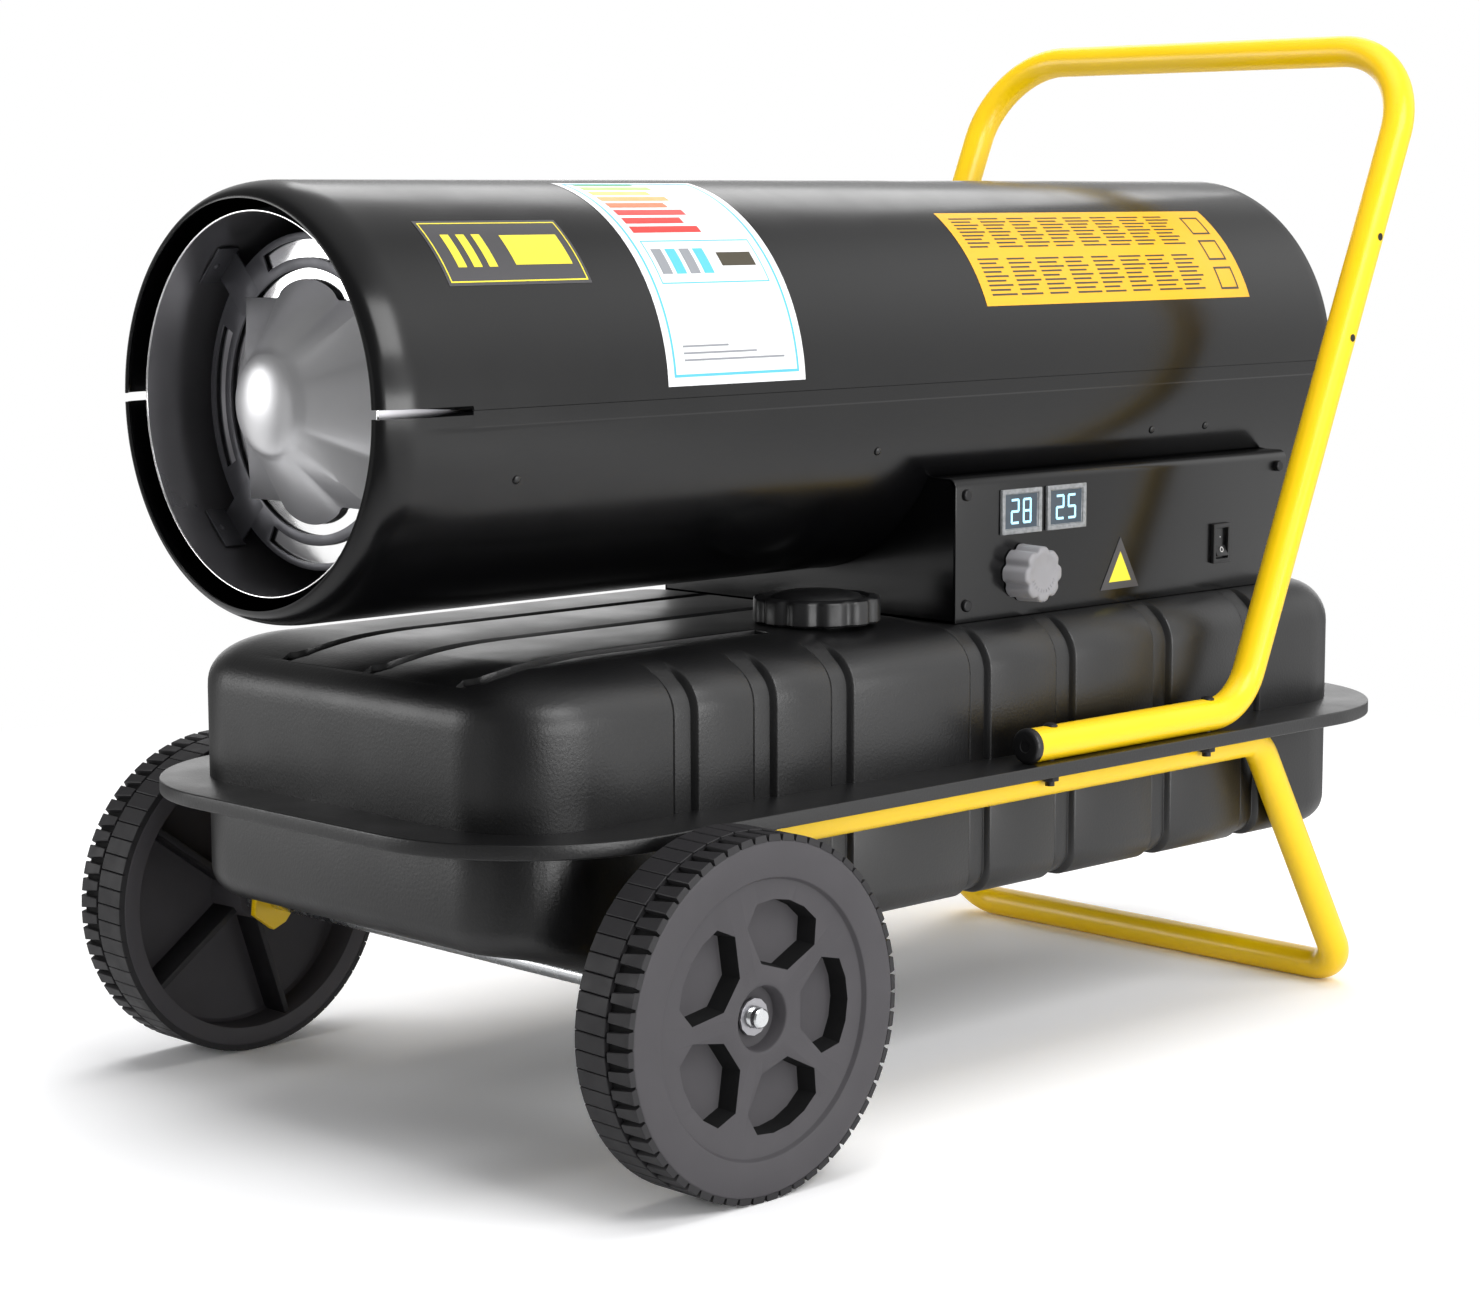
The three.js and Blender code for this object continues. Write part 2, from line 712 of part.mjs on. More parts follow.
function makeDrive() {
  const { frontX, rearX, bell, shaftRadius } = motor;
  const bore = shaftRadius + motor.shaftFit;
  const motorOutline = [
    [frontX, bore],
    [frontX, motor.radius - bell],
    [frontX + bell, motor.radius],
    [rearX - bell, motor.radius],
    [rearX, motor.radius - bell],
    [rearX, bore],
  ];
  addPiece("motor", onBarrel(motorOutline, 24), darkSteel);
  const motorClampX = frontX + clamp.motorInset;
  addPiece("motor_bracket", spider(motorClampX, motorClampX + clamp.motorWidth, motor.radius), darkSteel);
  const chamberClampX = chamber.rearX - clamp.chamberInset;
  const chamberClamp = spider(chamberClampX, chamberClampX + clamp.chamberWidth, chamber.radius);
  addPiece("chamber_bracket", chamberClamp, darkSteel);

  const shaftFrontX = pumpRearX - pump.shaftDepth;
  const pumpOutline = [
    [pumpFrontX, 0],
    [pumpFrontX, pump.coverRadius],
    [pumpFrontX + pump.coverLength, pump.coverRadius],
    [pumpFrontX + pump.coverLength, pump.radius],
    [pumpRearX, pump.radius],
    [pumpRearX, bore],
    [shaftFrontX - seat, bore],
    [shaftFrontX - seat, 0],
  ];
  addPiece("air_pump", onBarrel(pumpOutline, 24), steel);

  const shaftOutline = tubeOutline(shaftFrontX, fan.frontX + fan.depth + fan.shaftEnd, 0, shaftRadius);
  addPiece("fan_shaft", turned("x", shaftOutline, [0, 0, 0], smallSides), steel, barrelCentre);
}

// One blade, twisted and widening from the hub to the tip.
function fanBlade(angle) {
  const { tipRadius, rootPitch, tipPitch, rootChord, tipChord, bladeThick, depth } = fan;
  const root = fan.hubRadius - fan.rootSink;
  const rings = [0, 0.35, 0.7, 1].map((share) => {
    const radius = root + (tipRadius - root) * share;
    const chord = (rootChord + (tipChord - rootChord) * share) / 2;
    const pitch = degrees(rootPitch + (tipPitch - rootPitch) * share);
    const section = [[-1, -1], [1, -1], [1, 1], [-1, 1]];
    return section.map(([along, across]) => {
      const [u, v] = [along * chord, (across * bladeThick) / 2];
      const x = u * Math.sin(pitch) + v * Math.cos(pitch);
      const sideways = u * Math.cos(pitch) - v * Math.sin(pitch);
      return [depth / 2 + x, sideways, Math.sqrt(radius ** 2 - sideways ** 2)];
    });
  });
  return solid(skin(rings).rotateX(degrees(angle)));
}

function makeFan() {
  const hub = turned("x", tubeOutline(0, fan.depth, motor.shaftRadius + seat, fan.hubRadius));
  const blades = [];
  for (let i = 0; i < fan.blades; i++) blades.push(fanBlade((360 * i) / fan.blades));
  addPiece("fan", joined(hub, ...blades), satinBlack, [fan.frontX, 0, barrel.axisZ]);
}

function makeGuard() {
  const { x, wire, rings, spokes, hub } = guard;
  const outer = barrel.lapInner;
  const step = (outer - hub) / rings;
  const hoops = [];
  for (let i = 0; i <= rings; i++) {
    const radius = hub + step * i;
    hoops.push(onBarrel(tubeOutline(x, x + wire, radius - wire, radius), smallSides));
  }
  const bars = [];
  for (let i = 0; i < spokes; i++) {
    const bar = new THREE.BoxGeometry(wire, outer - hub, wire);
    bar.translate(0, (outer + hub - wire) / 2, 0);
    bar.rotateX(degrees((360 * i) / spokes + 45));
    bars.push(solid(bar.translate(x + wire / 2, 0, barrel.axisZ)));
  }
  addPiece("rear_guard", joined(...hoops, ...bars), satinBlack);
}

// ---- tank ----
// Rings of one half's outer form, drawn in by inset, from the joint to the far face.
function trayRings(jointZ, faceZ, edge, inset) {
  const out = Math.sign(faceZ - jointZ);
  const face = faceZ - out * inset;
  const rings = [];
  const ringAt = (z, drawnIn) => {
    const plan = roundedPlan(
      tank.frontX + drawnIn,
      tank.rearX - drawnIn,
      tank.halfWidth - drawnIn,
      tank.cornerRadius - drawnIn,
    );
    rings.push(plan.map(([x, y]) => [x, y, z]));
  };
  const rounding = edge - inset;
  ringAt(jointZ - out * (inset > 0 ? 1 : 0), inset);
  for (const angle of [0, 45, 90]) {
    const [run, rise] = [1 - Math.cos(degrees(angle)), Math.sin(degrees(angle))];
    ringAt(face - out * rounding * (1 - rise), inset + rounding * run);
  }
  return rings;
}

// The crown over the front of the top.
function crownForm() {
  const [front, rear] = [tank.frontX + tank.topEdge, box.frontX - crown.boxGap];
  const half = tank.halfWidth - tank.topEdge;
  const ringAt = (drawnIn, z) => {
    const corner = Math.max(crown.cornerRadius - drawnIn, 3);
    const plan = roundedPlan(front + drawnIn, rear - drawnIn, half - drawnIn, corner);
    return plan.map(([x, y]) => [x, y, z]);
  };
  return loft([
    ringAt(0, tank.topZ - 1),
    ...crown.rise.map(([drawnIn, rise]) => ringAt(drawnIn, tank.topZ + rise)),
  ]);
}

// A groove's plan, a strip of even width along its line.
function groovePlan(y, endX) {
  const line = [...groove.start, [endX, 0]].map(([x, swing]) => new THREE.Vector2(x, y + swing));
  const half = groove.width / 2;
  const edges = [1, -1].map((hand) =>
    line.map((at, i) => {
      const before = at.clone().sub(line[Math.max(i - 1, 0)]).normalize();
      const after = line[Math.min(i + 1, line.length - 1)].clone().sub(at).normalize();
      const way = before.clone().add(after).normalize();
      const mitre = Math.min(1.3, 1 / Math.max(way.dot(i ? before : after), 0.1));
      return [at.x - hand * way.y * half * mitre, at.y + hand * way.x * half * mitre];
    }),
  );
  return polygon([...edges[0], ...edges[1].reverse()]);
}

// A pressed half: the deep-drawn form, less the bands round its sides, with a plain hollow inside.
function makeTray(jointZ, faceZ, edge, bandFromZ) {
  const form = (inset) => loft(trayRings(jointZ, faceZ, edge, inset));
  const [zLow, zHigh] = [Math.min(bandFromZ, faceZ), Math.max(bandFromZ, faceZ)];
  const reach = tank.halfWidth + 10;
  const bands = tank.bandX.flatMap((x) =>
    sides.map(({ y }) => {
      const ys = [y * tank.bandInner, y * reach].sort((a, b) => a - b);
      const xs = [x - tank.bandWidth / 2, x + tank.bandWidth / 2];
      return block(xs, ys, [zLow - (faceZ < jointZ ? 5 : 0), zHigh + (faceZ > jointZ ? 5 : 0)]);
    }),
  );
  const outside = cut(form(0), cut(joined(...bands), form(tank.bandDepth)));
  return cut(outside, form(tank.wall));
}

function flangePlan(drawnIn) {
  return polygon(
    roundedPlan(
      flange.frontX + drawnIn,
      flange.rearX - drawnIn,
      flange.halfWidth - drawnIn,
      flange.cornerRadius - drawnIn,
      6,
    ),
  );
}

function wallOpening() {
  return polygon(
    roundedPlan(tank.frontX + 1, tank.rearX - 1, tank.halfWidth - 1, tank.cornerRadius - 1),
  );
}

const jointTop = flange.topZ - flange.thick;
const jointBottom = jointTop - seat;
const flangeBottom = jointBottom - flange.thick;
const boltHole = (x, y, low, high) => rod("z", bolt.radius + bolt.fit, low, high, [x, y, 0], 8);

function fixingHoles(low, high) {
  return [...handle.boltX, spareHoleX].flatMap((x) =>
    sides.map(({ y }) => boltHole(x, y * handle.y, low, high)),
  );
}

function makeTank() {
  const neckBore = filler.neckRadius - filler.neckWall;
  const upperPlate = cut(
    plate("z", flangePlan(0), jointTop, flange.topZ),
    plate("z", wallOpening(), jointTop - 1, flange.topZ + 1),
    ...fixingHoles(jointTop - 1, flange.topZ + 1),
  );
  const neckCentre = [filler.x, filler.y, 0];
  const neck = turned(
    "z",
    tubeOutline(tank.topZ - tank.wall / 2, filler.neckTop, neckBore, filler.neckRadius),
    neckCentre,
    smallSides,
  );
  const mouth = rod("z", neckBore, tank.topZ - 10, filler.neckTop + 1, neckCentre);
  const lineHole = fuelLineHole(tank.topZ - 10, tank.topZ + 1);
  const crowned = crownForm();
  const grooveFloor = joined(loft(trayRings(jointTop, tank.topZ, tank.topEdge, 0)), crowned);
  const grooves = groove.y.map((y, i) =>
    plate("z", groovePlan(y, groove.endX[i]), tank.topZ - tank.topEdge, tank.topZ + 10),
  );
  const pressed = cut(joined(...grooves), grooveFloor.translate([0, 0, -groove.depth]));
  const upperTray = joined(makeTray(jointTop, tank.topZ, tank.topEdge, flange.topZ), crowned);
  const upper = joined(cut(upperTray, pressed), upperPlate, neck);
  addPiece("tank_upper_half", cut(upper, mouth, lineHole), satinBlack);

  const lowerPlate = cut(
    joined(
      plate("z", flangePlan(0), flangeBottom, jointBottom),
      cut(
        plate("z", flangePlan(0), flange.topZ - flange.lipHeight, jointBottom),
        plate("z", flangePlan(flange.lipWall), flange.topZ - flange.lipHeight - 1, jointBottom + 1),
      ),
    ),
    plate("z", wallOpening(), flangeBottom - 1, jointBottom + 1),
    ...fixingHoles(flangeBottom - 1, jointBottom + 1),
  );
  const lowerTray = makeTray(jointBottom, tank.bottomZ, tank.bottomEdge, flangeBottom);
  addPiece("tank_lower_half", joined(lowerTray, lowerPlate), satinBlack);

  const sleeve = neckBore - seat;
  const { neckTop, strainerWall, strainerTaper } = filler;
  const foot = neckTop - filler.strainerDepth;
  const strainerOutline = [
    [neckTop + seat, sleeve - strainerWall],
    [neckTop + strainerWall, sleeve - strainerWall],
    [neckTop + strainerWall, filler.neckRadius],
    [neckTop + seat, filler.neckRadius],
    [neckTop + seat, sleeve],
    [foot, sleeve - strainerTaper],
    [foot, 0],
    [foot + strainerWall, 0],
    [foot + strainerWall, sleeve - strainerTaper - strainerWall],
  ];
  addPiece("filler_strainer", turned("z", strainerOutline, neckCentre, smallSides), zinc);
}

function scallopedDisc(radius, depth, count, low, high, axis) {
  const shape = new THREE.Shape();
  const perFlute = 4;
  for (let i = 0; i < count * perFlute; i++) {
    const angle = (2 * Math.PI * i) / (count * perFlute);
    const wave = (1 - Math.cos(angle * count)) / 2;
    const at = radius - depth * wave ** 2;
    const point = [at * Math.cos(angle), at * Math.sin(angle)];
    if (i === 0) shape.moveTo(...point);
    else shape.lineTo(...point);
  }
  return plate(axis, shape, low, high);
}

function makeCap() {
  const { height, radius, fluteDepth, flutes } = cap;
  const body = scallopedDisc(radius, fluteDepth, flutes, 0, height, "z");
  const domeRadius = radius - fluteDepth - 1;
  const dome = [
    [height - 1, 0],
    [height - 1, domeRadius],
    [height, domeRadius],
    [height + cap.crown * 0.7, domeRadius * 0.8],
    [height + cap.crown, domeRadius * 0.5],
    [height + cap.crown, 0],
  ];
  const bore = rod("z", cap.bore, -1, cap.ceilingZ - cap.skirtZ, [0, 0, 0]);
  const place = [filler.x, filler.y, cap.skirtZ];
  addPiece("fuel_cap", cut(joined(body, turned("z", dome)), bore), blackPlastic, place);
  const sealLow = filler.neckTop + filler.strainerWall + seat;
  const seal = tubeOutline(sealLow, cap.ceilingZ - seat, cap.sealBore, cap.bore - 1);
  addPiece("cap_seal", turned("z", seal, [0, 0, 0], smallSides), rubber, [filler.x, filler.y, 0]);
}

// ---- control box ----
const panelInner = box.halfWidth - box.sheet;
const floorTop = box.floorZ + box.sheet + seat;
const screwPlaces = [box.frontX + panelScrew.insetX, box.rearX - panelScrew.insetX].flatMap((x) =>
  [box.floorZ + panelScrew.insetZ, box.topZ - panelScrew.insetZ].map((z) => [x, z]),
);

// Section of a side wall bent over into the ledge that runs in to the barrel.
function wrapShape(y) {
  const { halfWidth, topZ, floorZ, bend, sheet, ledgeInner } = box;
  const corner = (radius) =>
    [0, 30, 60, 90].map((angle) => [
      halfWidth - bend + radius * Math.cos(degrees(angle)),
      topZ - bend + radius * Math.sin(degrees(angle)),
    ]);
  const outline = [
    [halfWidth, floorZ],
    ...corner(bend),
    [ledgeInner, topZ],
    [ledgeInner, topZ - sheet],
    ...corner(bend - sheet).reverse(),
    [halfWidth - sheet, floorZ],
  ];
  return polygon(outline.map(([u, v]) => [y * u, v]));
}

function makeBox() {
  const { frontX, rearX, floorZ, topZ, halfWidth, sheet, bend, earHalf } = box;
  const openSide = seat - panelInner;
  const floor = block([frontX, rearX], [openSide, halfWidth], [floorZ, floorZ + sheet]);
  const farWall = plate("x", wrapShape(1), frontX, rearX);
  const endPlate = polygon([
    [openSide, floorZ],
    [halfWidth - sheet / 2, floorZ],
    [halfWidth - sheet / 2, topZ - bend],
    [halfWidth - bend, topZ - sheet / 2],
    [openSide + bend, topZ - sheet - seat],
    [openSide, topZ - bend - sheet],
  ]);
  const ends = [frontX, rearX - sheet].map((low) => plate("x", endPlate, low, low + sheet));
  const ears = screwPlaces.map(([x, z]) => {
    const xs = x < (frontX + rearX) / 2 ? [frontX, x + earHalf] : [x - earHalf, rearX];
    return block(xs, [openSide, openSide + sheet], [z - earHalf, z + earHalf / 2]);
  });
  const saddle = onBarrel(tubeOutline(frontX - 1, rearX + 1, 0, barrel.radius + 2 * seat));
  const earHoles = screwPlaces.map(([x, z]) =>
    rod("y", panelScrew.hole, -halfWidth - 1, openSide + sheet + 1, [x, 0, z], 8),
  );
  const glandHole = rod("x", gland.neck + 2 * seat, rearX - sheet - 1, rearX + 1, gland.centre, 12);
  const body = joined(floor, farWall, ...ends, ...ears);
  const holes = [fuelLineHole(floorZ - 1, floorZ + sheet + 1), glandHole, ...earHoles];
  addPiece("control_box", cut(body, saddle, ...holes), glossBlack);
}

function makePanel() {
  const { frontX, rearX, halfWidth } = box;
  const through = [-halfWidth - 1, 1 - panelInner];
  const window = (x, z, width, height) =>
    block([x - width / 2, x + width / 2], through, [z - height / 2, z + height / 2]);
  const { width, height, lip, bezel } = display;
  const cuts = [
    ...display.x.map((x) => window(x, display.z, width - 2 * lip, height - 2 * lip)),
    window(rocker.x, rocker.z, rocker.width + 4, rocker.height + 2.5),
    rod("y", knob.shaft + 1.2, ...through, [knob.x, 0, knob.z], 12),
    ...screwPlaces.map(([x, z]) => rod("y", panelScrew.hole, ...through, [x, 0, z], 8)),
  ];
  addPiece("front_panel", cut(plate("x", wrapShape(-1), frontX, rearX), ...cuts), glossBlack);

  screwPlaces.forEach(([x, z], i) => {
    const { head, shank, headHeight, length } = panelScrew;
    const outline = [
      [-headHeight, 0],
      [-headHeight, head - 1.2],
      [-headHeight / 2, head],
      [-seat, head],
      [-seat, shank],
      [length, shank],
      [length, 0],
    ];
    addPiece("panel_screw_" + (i + 1), turned("y", outline, [x, -halfWidth, z], 8), blackPlastic);
  });

  const face = -halfWidth - seat;
  const half = (size, trim) => [trim - size / 2, size / 2 - trim];
  const at = (centre, [low, high]) => [centre + low, centre + high];
  display.x.forEach((x, i) => {
    const slab = (trim, ys) => block(at(x, half(width, trim)), ys, at(display.z, half(height, trim)));
    const frame = cut(slab(0, [face - bezel, face]), slab(4, [face - bezel - 1, face - bezel + 1]));
    const rear = slab(lip + 2 * seat, [face - 0.5, -board.y - seat]);
    addPiece("display_" + (i === 0 ? "left" : "right"), joined(frame, rear), displayDark);
  });

  const potentiometer = cut(
    block(
      at(knob.x, [-thermostat.half, thermostat.half]),
      [seat - panelInner, -board.y - seat],
      at(knob.z, [-thermostat.half, thermostat.half]),
    ),
    rod("y", knob.shaft + 2 * seat, -panelInner - 1, 1 - board.y, [knob.x, 0, knob.z], 12),
  );
  addPiece("thermostat_body", potentiometer, blackPlastic);

  const boardXs = [display.x[0] - board.sideMargin, display.x[1] + board.sideMargin];
  const boardZs = [floorTop, display.z + board.topMargin];
  addPiece("control_board", block(boardXs, [-board.y, board.thick - board.y], boardZs), boardGreen);
}

function makeKnob() {
  const { radius, height, flutes, fluteDepth, shaft } = knob;
  const base = -box.halfWidth - 1;
  const place = [knob.x, base, knob.z];
  const grip = scallopedDisc(radius, fluteDepth, flutes, -height, 0, "y");
  const faceRim = turned("y", [
    [-height - 1.2, 0],
    [-height - 1.2, radius - 4],
    [-height + 0.5, radius - 2.4],
    [-height + 0.5, 0],
  ]);
  const shaftTop = 4 - height;
  const shaftHole = rod("y", shaft + seat, shaftTop, 1, [0, 0, 0], 12);
  addPiece("control_knob", cut(joined(grip, faceRim), shaftHole), knobGrey, place);
  const shaftEnd = -base - board.y - seat - board.thick;
  addPiece("thermostat_shaft", rod("y", shaft, shaftTop + seat, shaftEnd, [0, 0, 0], 12), zinc, place);
}

function makeSwitch() {
  const { x, z, width, height, frame, pivotDepth } = rocker;
  const face = -box.halfWidth - seat;
  const across = (halfX, ys, halfZ) => block([x - halfX, x + halfX], ys, [z - halfZ, z + halfZ]);
  const lip = across(width / 2 + frame + 0.5, [face - 2, face], height / 2 + frame);
  const body = across(width / 2 + 1.6, [face - 0.5, face + 20], height / 2 + 0.9);
  const well = across(width / 2 + 0.5, [face - 3, face + 12], height / 2 + 0.3);
  addPiece("switch_housing", cut(joined(lip, body), well), blackPlastic);

  // The key is a shallow V that rocks about its middle, drawn tilted into its OFF position.
  const turn = degrees(rocker.tilt);
  const section = [
    [-9.4, 4.4],
    [0, 2.4],
    [9.4, 4.4],
    [8.6, -3],
    [3, -7],
    [-3, -7],
    [-8.6, -3],
  ].map(([along, out]) => [
    along * Math.sin(turn) - out * Math.cos(turn),
    along * Math.cos(turn) + out * Math.sin(turn),
  ]);
  const key = plate("x", polygon(section), -width / 2, width / 2);
  addPiece("switch_rocker", key, blackPlastic, [x, pivotDepth - box.halfWidth, z]);
}

function makeBoxParts() {
  const { length, width, height, rearInset, sideGap, hornRadius, hornLength, hornRise } = transformer;
  const coilXs = [box.rearX - rearInset - length, box.rearX - rearInset];
  const coilYs = [box.halfWidth - sideGap - width, box.halfWidth - sideGap];
  const coil = block(coilXs, coilYs, [floorTop, floorTop + height]);
  const hornCentre = [0, (coilYs[0] + coilYs[1]) / 2, floorTop + hornRise];
  const horn = rod("x", hornRadius, coilXs[0] - hornLength, coilXs[0] + 1, hornCentre, 12);
  addPiece("ignition_transformer", joined(coil, horn), blackPlastic);

  const glandOutline = [
    [-12, gland.bore],
    [-12, gland.neck],
    [seat, gland.neck],
    [seat, gland.flange],
    [6, gland.flange],
    [8, gland.nut],
    [gland.length, gland.tip],
    [gland.length, gland.bore],
  ].map(([along, radius]) => [box.rearX + along, radius]);
  addPiece("cable_gland", turned("x", glandOutline, gland.centre, 12), blackPlastic);
}

function makeLines() {
  const nozzleEnd = burner.plateX + burner.plateThick + seat;
  const fuelRoute = new PipeRoute(
    [
      [fuelLine.x, fuelLine.y, tank.bottomZ + fuelLine.tankGap],
      [fuelLine.x, fuelLine.y, barrel.axisZ - fuelLine.y],
      [fuelLine.x - 25, 0, barrel.axisZ],
      [nozzleEnd, 0, barrel.axisZ],
    ],
    [18, 14],
    30,
  );
  addPiece("fuel_line", alongRoute(fuelRoute, fuelLine.radius, 8), copper);
  const airCentre = [0, airLine.y, barrel.axisZ + airLine.rise];
  addPiece("air_line", rod("x", airLine.radius, nozzleEnd, pumpFrontX - seat, airCentre, 8), rubber);
}

// ---- handle, stand, axle and wheels ----
const handleZ = flange.topZ + seat + pipe.radius;
const railZ = flangeBottom - seat - pipe.radius;
const lugBottom = flangeBottom - seat - stand.lugThick;

function bentPipe(corners, bends, degreesPerStep) {
  const route = new PipeRoute(corners, bends, degreesPerStep);
  const outer = alongRoute(route, pipe.radius, pipe.sides);
  const ends = [0, route.stations.length - 1].map((i) => route.stations[i]);
  const longer = corners.map((p) => [...p]);
  const [firstWay, lastWay] = [ends[0][1], ends[1][1]];
  longer[0] = new THREE.Vector3(...corners[0]).addScaledVector(firstWay, -1).toArray();
  longer[corners.length - 1] = new THREE.Vector3(...corners.at(-1)).addScaledVector(lastWay, 1).toArray();
  const boreRoute = new PipeRoute(longer, bends, degreesPerStep);
  return { outer, bore: alongRoute(boreRoute, pipe.innerRadius, pipe.boreSides) };
}

function makeHandle() {
  const { y, frontX, bendX, barX, barZ, lowBend, topBend } = handle;
  const corners = [
    [frontX, -y, handleZ],
    [bendX, -y, handleZ],
    [barX, -y, barZ],
    [barX, y, barZ],
    [bendX, y, handleZ],
    [frontX, y, handleZ],
  ];
  const { outer, bore } = bentPipe(corners, [lowBend, topBend, topBend, lowBend]);
  const holes = handle.boltX.flatMap((x) =>
    sides.map((side) => boltHole(x, side.y * y, flange.topZ, handleZ + pipe.radius + 1)),
  );
  addPiece("handle", cut(outer, bore, ...holes), yellowCoat);

  const plug = pipe.innerRadius * Math.cos(Math.PI / pipe.boreSides) - seat;
  for (const side of sides) {
    const outline = [
      [frontX - 5, 0],
      [frontX - 5, pipe.radius - 3],
      [frontX - 3.5, pipe.radius - 0.5],
      [frontX - seat, pipe.radius + 0.4],
      [frontX - seat, plug],
      [frontX + 14, plug - 0.5],
      [frontX + 14, 0],
    ];
    const capBody = turned("x", outline, [0, side.y * y, handleZ], pipe.sides);
    addPiece("handle_cap_" + side.name, capBody, blackPlastic);
  }

  let number = 0;
  for (const x of handle.boltX) {
    for (const side of sides) {
      number += 1;
      const headZ = handleZ + pipe.radius + seat;
      const tip = lugBottom - bolt.nutHeight - bolt.tail;
      const shank = [
        [tip, 0],
        [tip, bolt.radius],
        [headZ, bolt.radius],
        [headZ, bolt.head],
        [headZ + bolt.headHeight * 0.6, bolt.head * 0.85],
        [headZ + bolt.headHeight, bolt.head * 0.45],
        [headZ + bolt.headHeight, 0],
      ];
      const centre = [x, side.y * y, 0];
      addPiece("frame_bolt_" + number, turned("z", shank, centre, 8), zinc);
      const nutLow = lugBottom - seat - bolt.nutHeight;
      const hexagon = [0, 60, 120, 180, 240, 300].map((angle) => [
        x + bolt.nut * Math.cos(degrees(angle)),
        side.y * y + bolt.nut * Math.sin(degrees(angle)),
      ]);
      const nut = plate("z", polygon(hexagon), nutLow, lugBottom - seat);
      const thread = rod("z", bolt.radius + 0.3, nutLow - 1, lugBottom, centre, 8);
      addPiece("frame_nut_" + number, cut(nut, thread), zinc);
    }
  }
}

// A pipe end pressed flat: rings across the leg that go from round to flat, round the axle's hole.
function flattenedEnd(y, radius, half, thick, tail) {
  const { frontX, tabY, flatEnd, roundEnd } = stand;
  const run = new THREE.Vector2(frontX, railZ - wheel.radius).normalize();
  const sections = [
    [roundEnd + 2, 0, 1],
    [(roundEnd * 2 + flatEnd) / 3, 0.3, 1],
    [(roundEnd + flatEnd * 2) / 3, 0.8, 1],
    [flatEnd, 1, 1],
    [6 - tail, 1, 1],
    [-tail, 1, 0.6],
  ];
  const flat = [[1, 0], [1, 0.6], [0.6, 1], [0, 1], [-0.6, 1], [-1, 0.6]];
  const rings = sections.map(([along, pressed, narrow]) => {
    const ring = [];
    for (let i = 0; i < 12; i++) {
      const sign = i < 6 ? 1 : -1;
      const [u, v] = flat[i % 6];
      const round = (1 - pressed) * radius;
      const across = round * Math.cos(degrees(30 * i)) + pressed * half * narrow * u * sign;
      const out = round * Math.sin(degrees(30 * i)) + (pressed * thick * v * sign) / 2;
      const [x, z] = [run.x * along - run.y * across, run.y * along + run.x * across];
      ring.push([x, y * tabY + out, wheel.radius + z]);
    }
    return ring;
  });
  return loft(rings);
}

function makeStand() {
  const { railY, frontX, bendX, barX, tabY, tabThick, tabHalf, tabTail, roundEnd, legKnee } = stand;
  const run = new THREE.Vector2(frontX, railZ - wheel.radius).normalize();
  const onLeg = (along, y) => [run.x * along, y * tabY, wheel.radius + run.y * along];
  const leg = (y) => [
    onLeg(roundEnd, y),
    onLeg(legKnee, y),
    [frontX, y * railY, railZ],
    [bendX, y * railY, railZ],
    [barX, y * railY, pipe.radius],
  ];
  const bends = [stand.kneeBend, stand.frontBend, stand.rearBend, stand.footBend];
  const corners = [...leg(-1), ...leg(1).reverse()];
  const { outer, bore } = bentPipe(corners, [...bends, ...[...bends].reverse()], 30);
  const ends = sides.map(({ y }) => flattenedEnd(y, pipe.radius, tabHalf, tabThick, tabTail));
  const drains = sides.map(({ y }) => {
    const centre = [frontX + stand.drainInset, y * railY, 0];
    return rod("z", stand.drainRadius, railZ - pipe.radius - 1, railZ, centre, 8);
  });
  const axleHole = rod("y", axle.radius + axle.fit, -tabY - 10, tabY + 10, [0, 0, wheel.radius]);
  const lugs = handle.boltX.flatMap((x) =>
    sides.map(({ y }) => {
      const ys = [y * (railY + 2), y * (handle.y + stand.lugReach)].sort((a, b) => a - b);
      return cut(
        block([x - stand.lugHalf, x + stand.lugHalf], ys, [lugBottom, flangeBottom - seat]),
        boltHole(x, y * handle.y, lugBottom - 1, flangeBottom + 1),
        bore,
      );
    }),
  );
  addPiece("stand", cut(joined(cut(outer, bore), ...ends, ...lugs), axleHole, ...drains), yellowCoat);
}

function makeAxle() {
  const end = wheel.track - axle.endInset;
  const outline = [
    [-end, 0],
    [-end, axle.radius - 1],
    [-end + 1, axle.radius],
    [end - 1, axle.radius],
    [end, axle.radius - 1],
    [end, 0],
  ];
  addPiece("axle", turned("y", outline, [0, 0, wheel.radius], 12), zinc);

  const tabFace = stand.tabY + stand.tabThick / 2;
  const clipY = wheel.track - wheel.recessDepth + seat;
  const bore = axle.radius + axle.fit;
  for (const side of sides) {
    const ring = (low, high, inner, outer) => {
      const [a, b] = [side.y * low, side.y * high].sort((m, n) => m - n);
      return turned("y", tubeOutline(a, b, inner, outer), [0, 0, wheel.radius], 12);
    };
    const spacer = ring(tabFace + seat, wheel.hubEnd - seat, bore, bore + axle.spacerWall);
    addPiece("axle_spacer_" + side.name, spacer, zinc);
    const clip = ring(clipY, clipY + axle.clipThick, axle.radius + seat, axle.clipRadius);
    addPiece("retaining_clip_" + side.name, clip, darkSteel);
  }
}

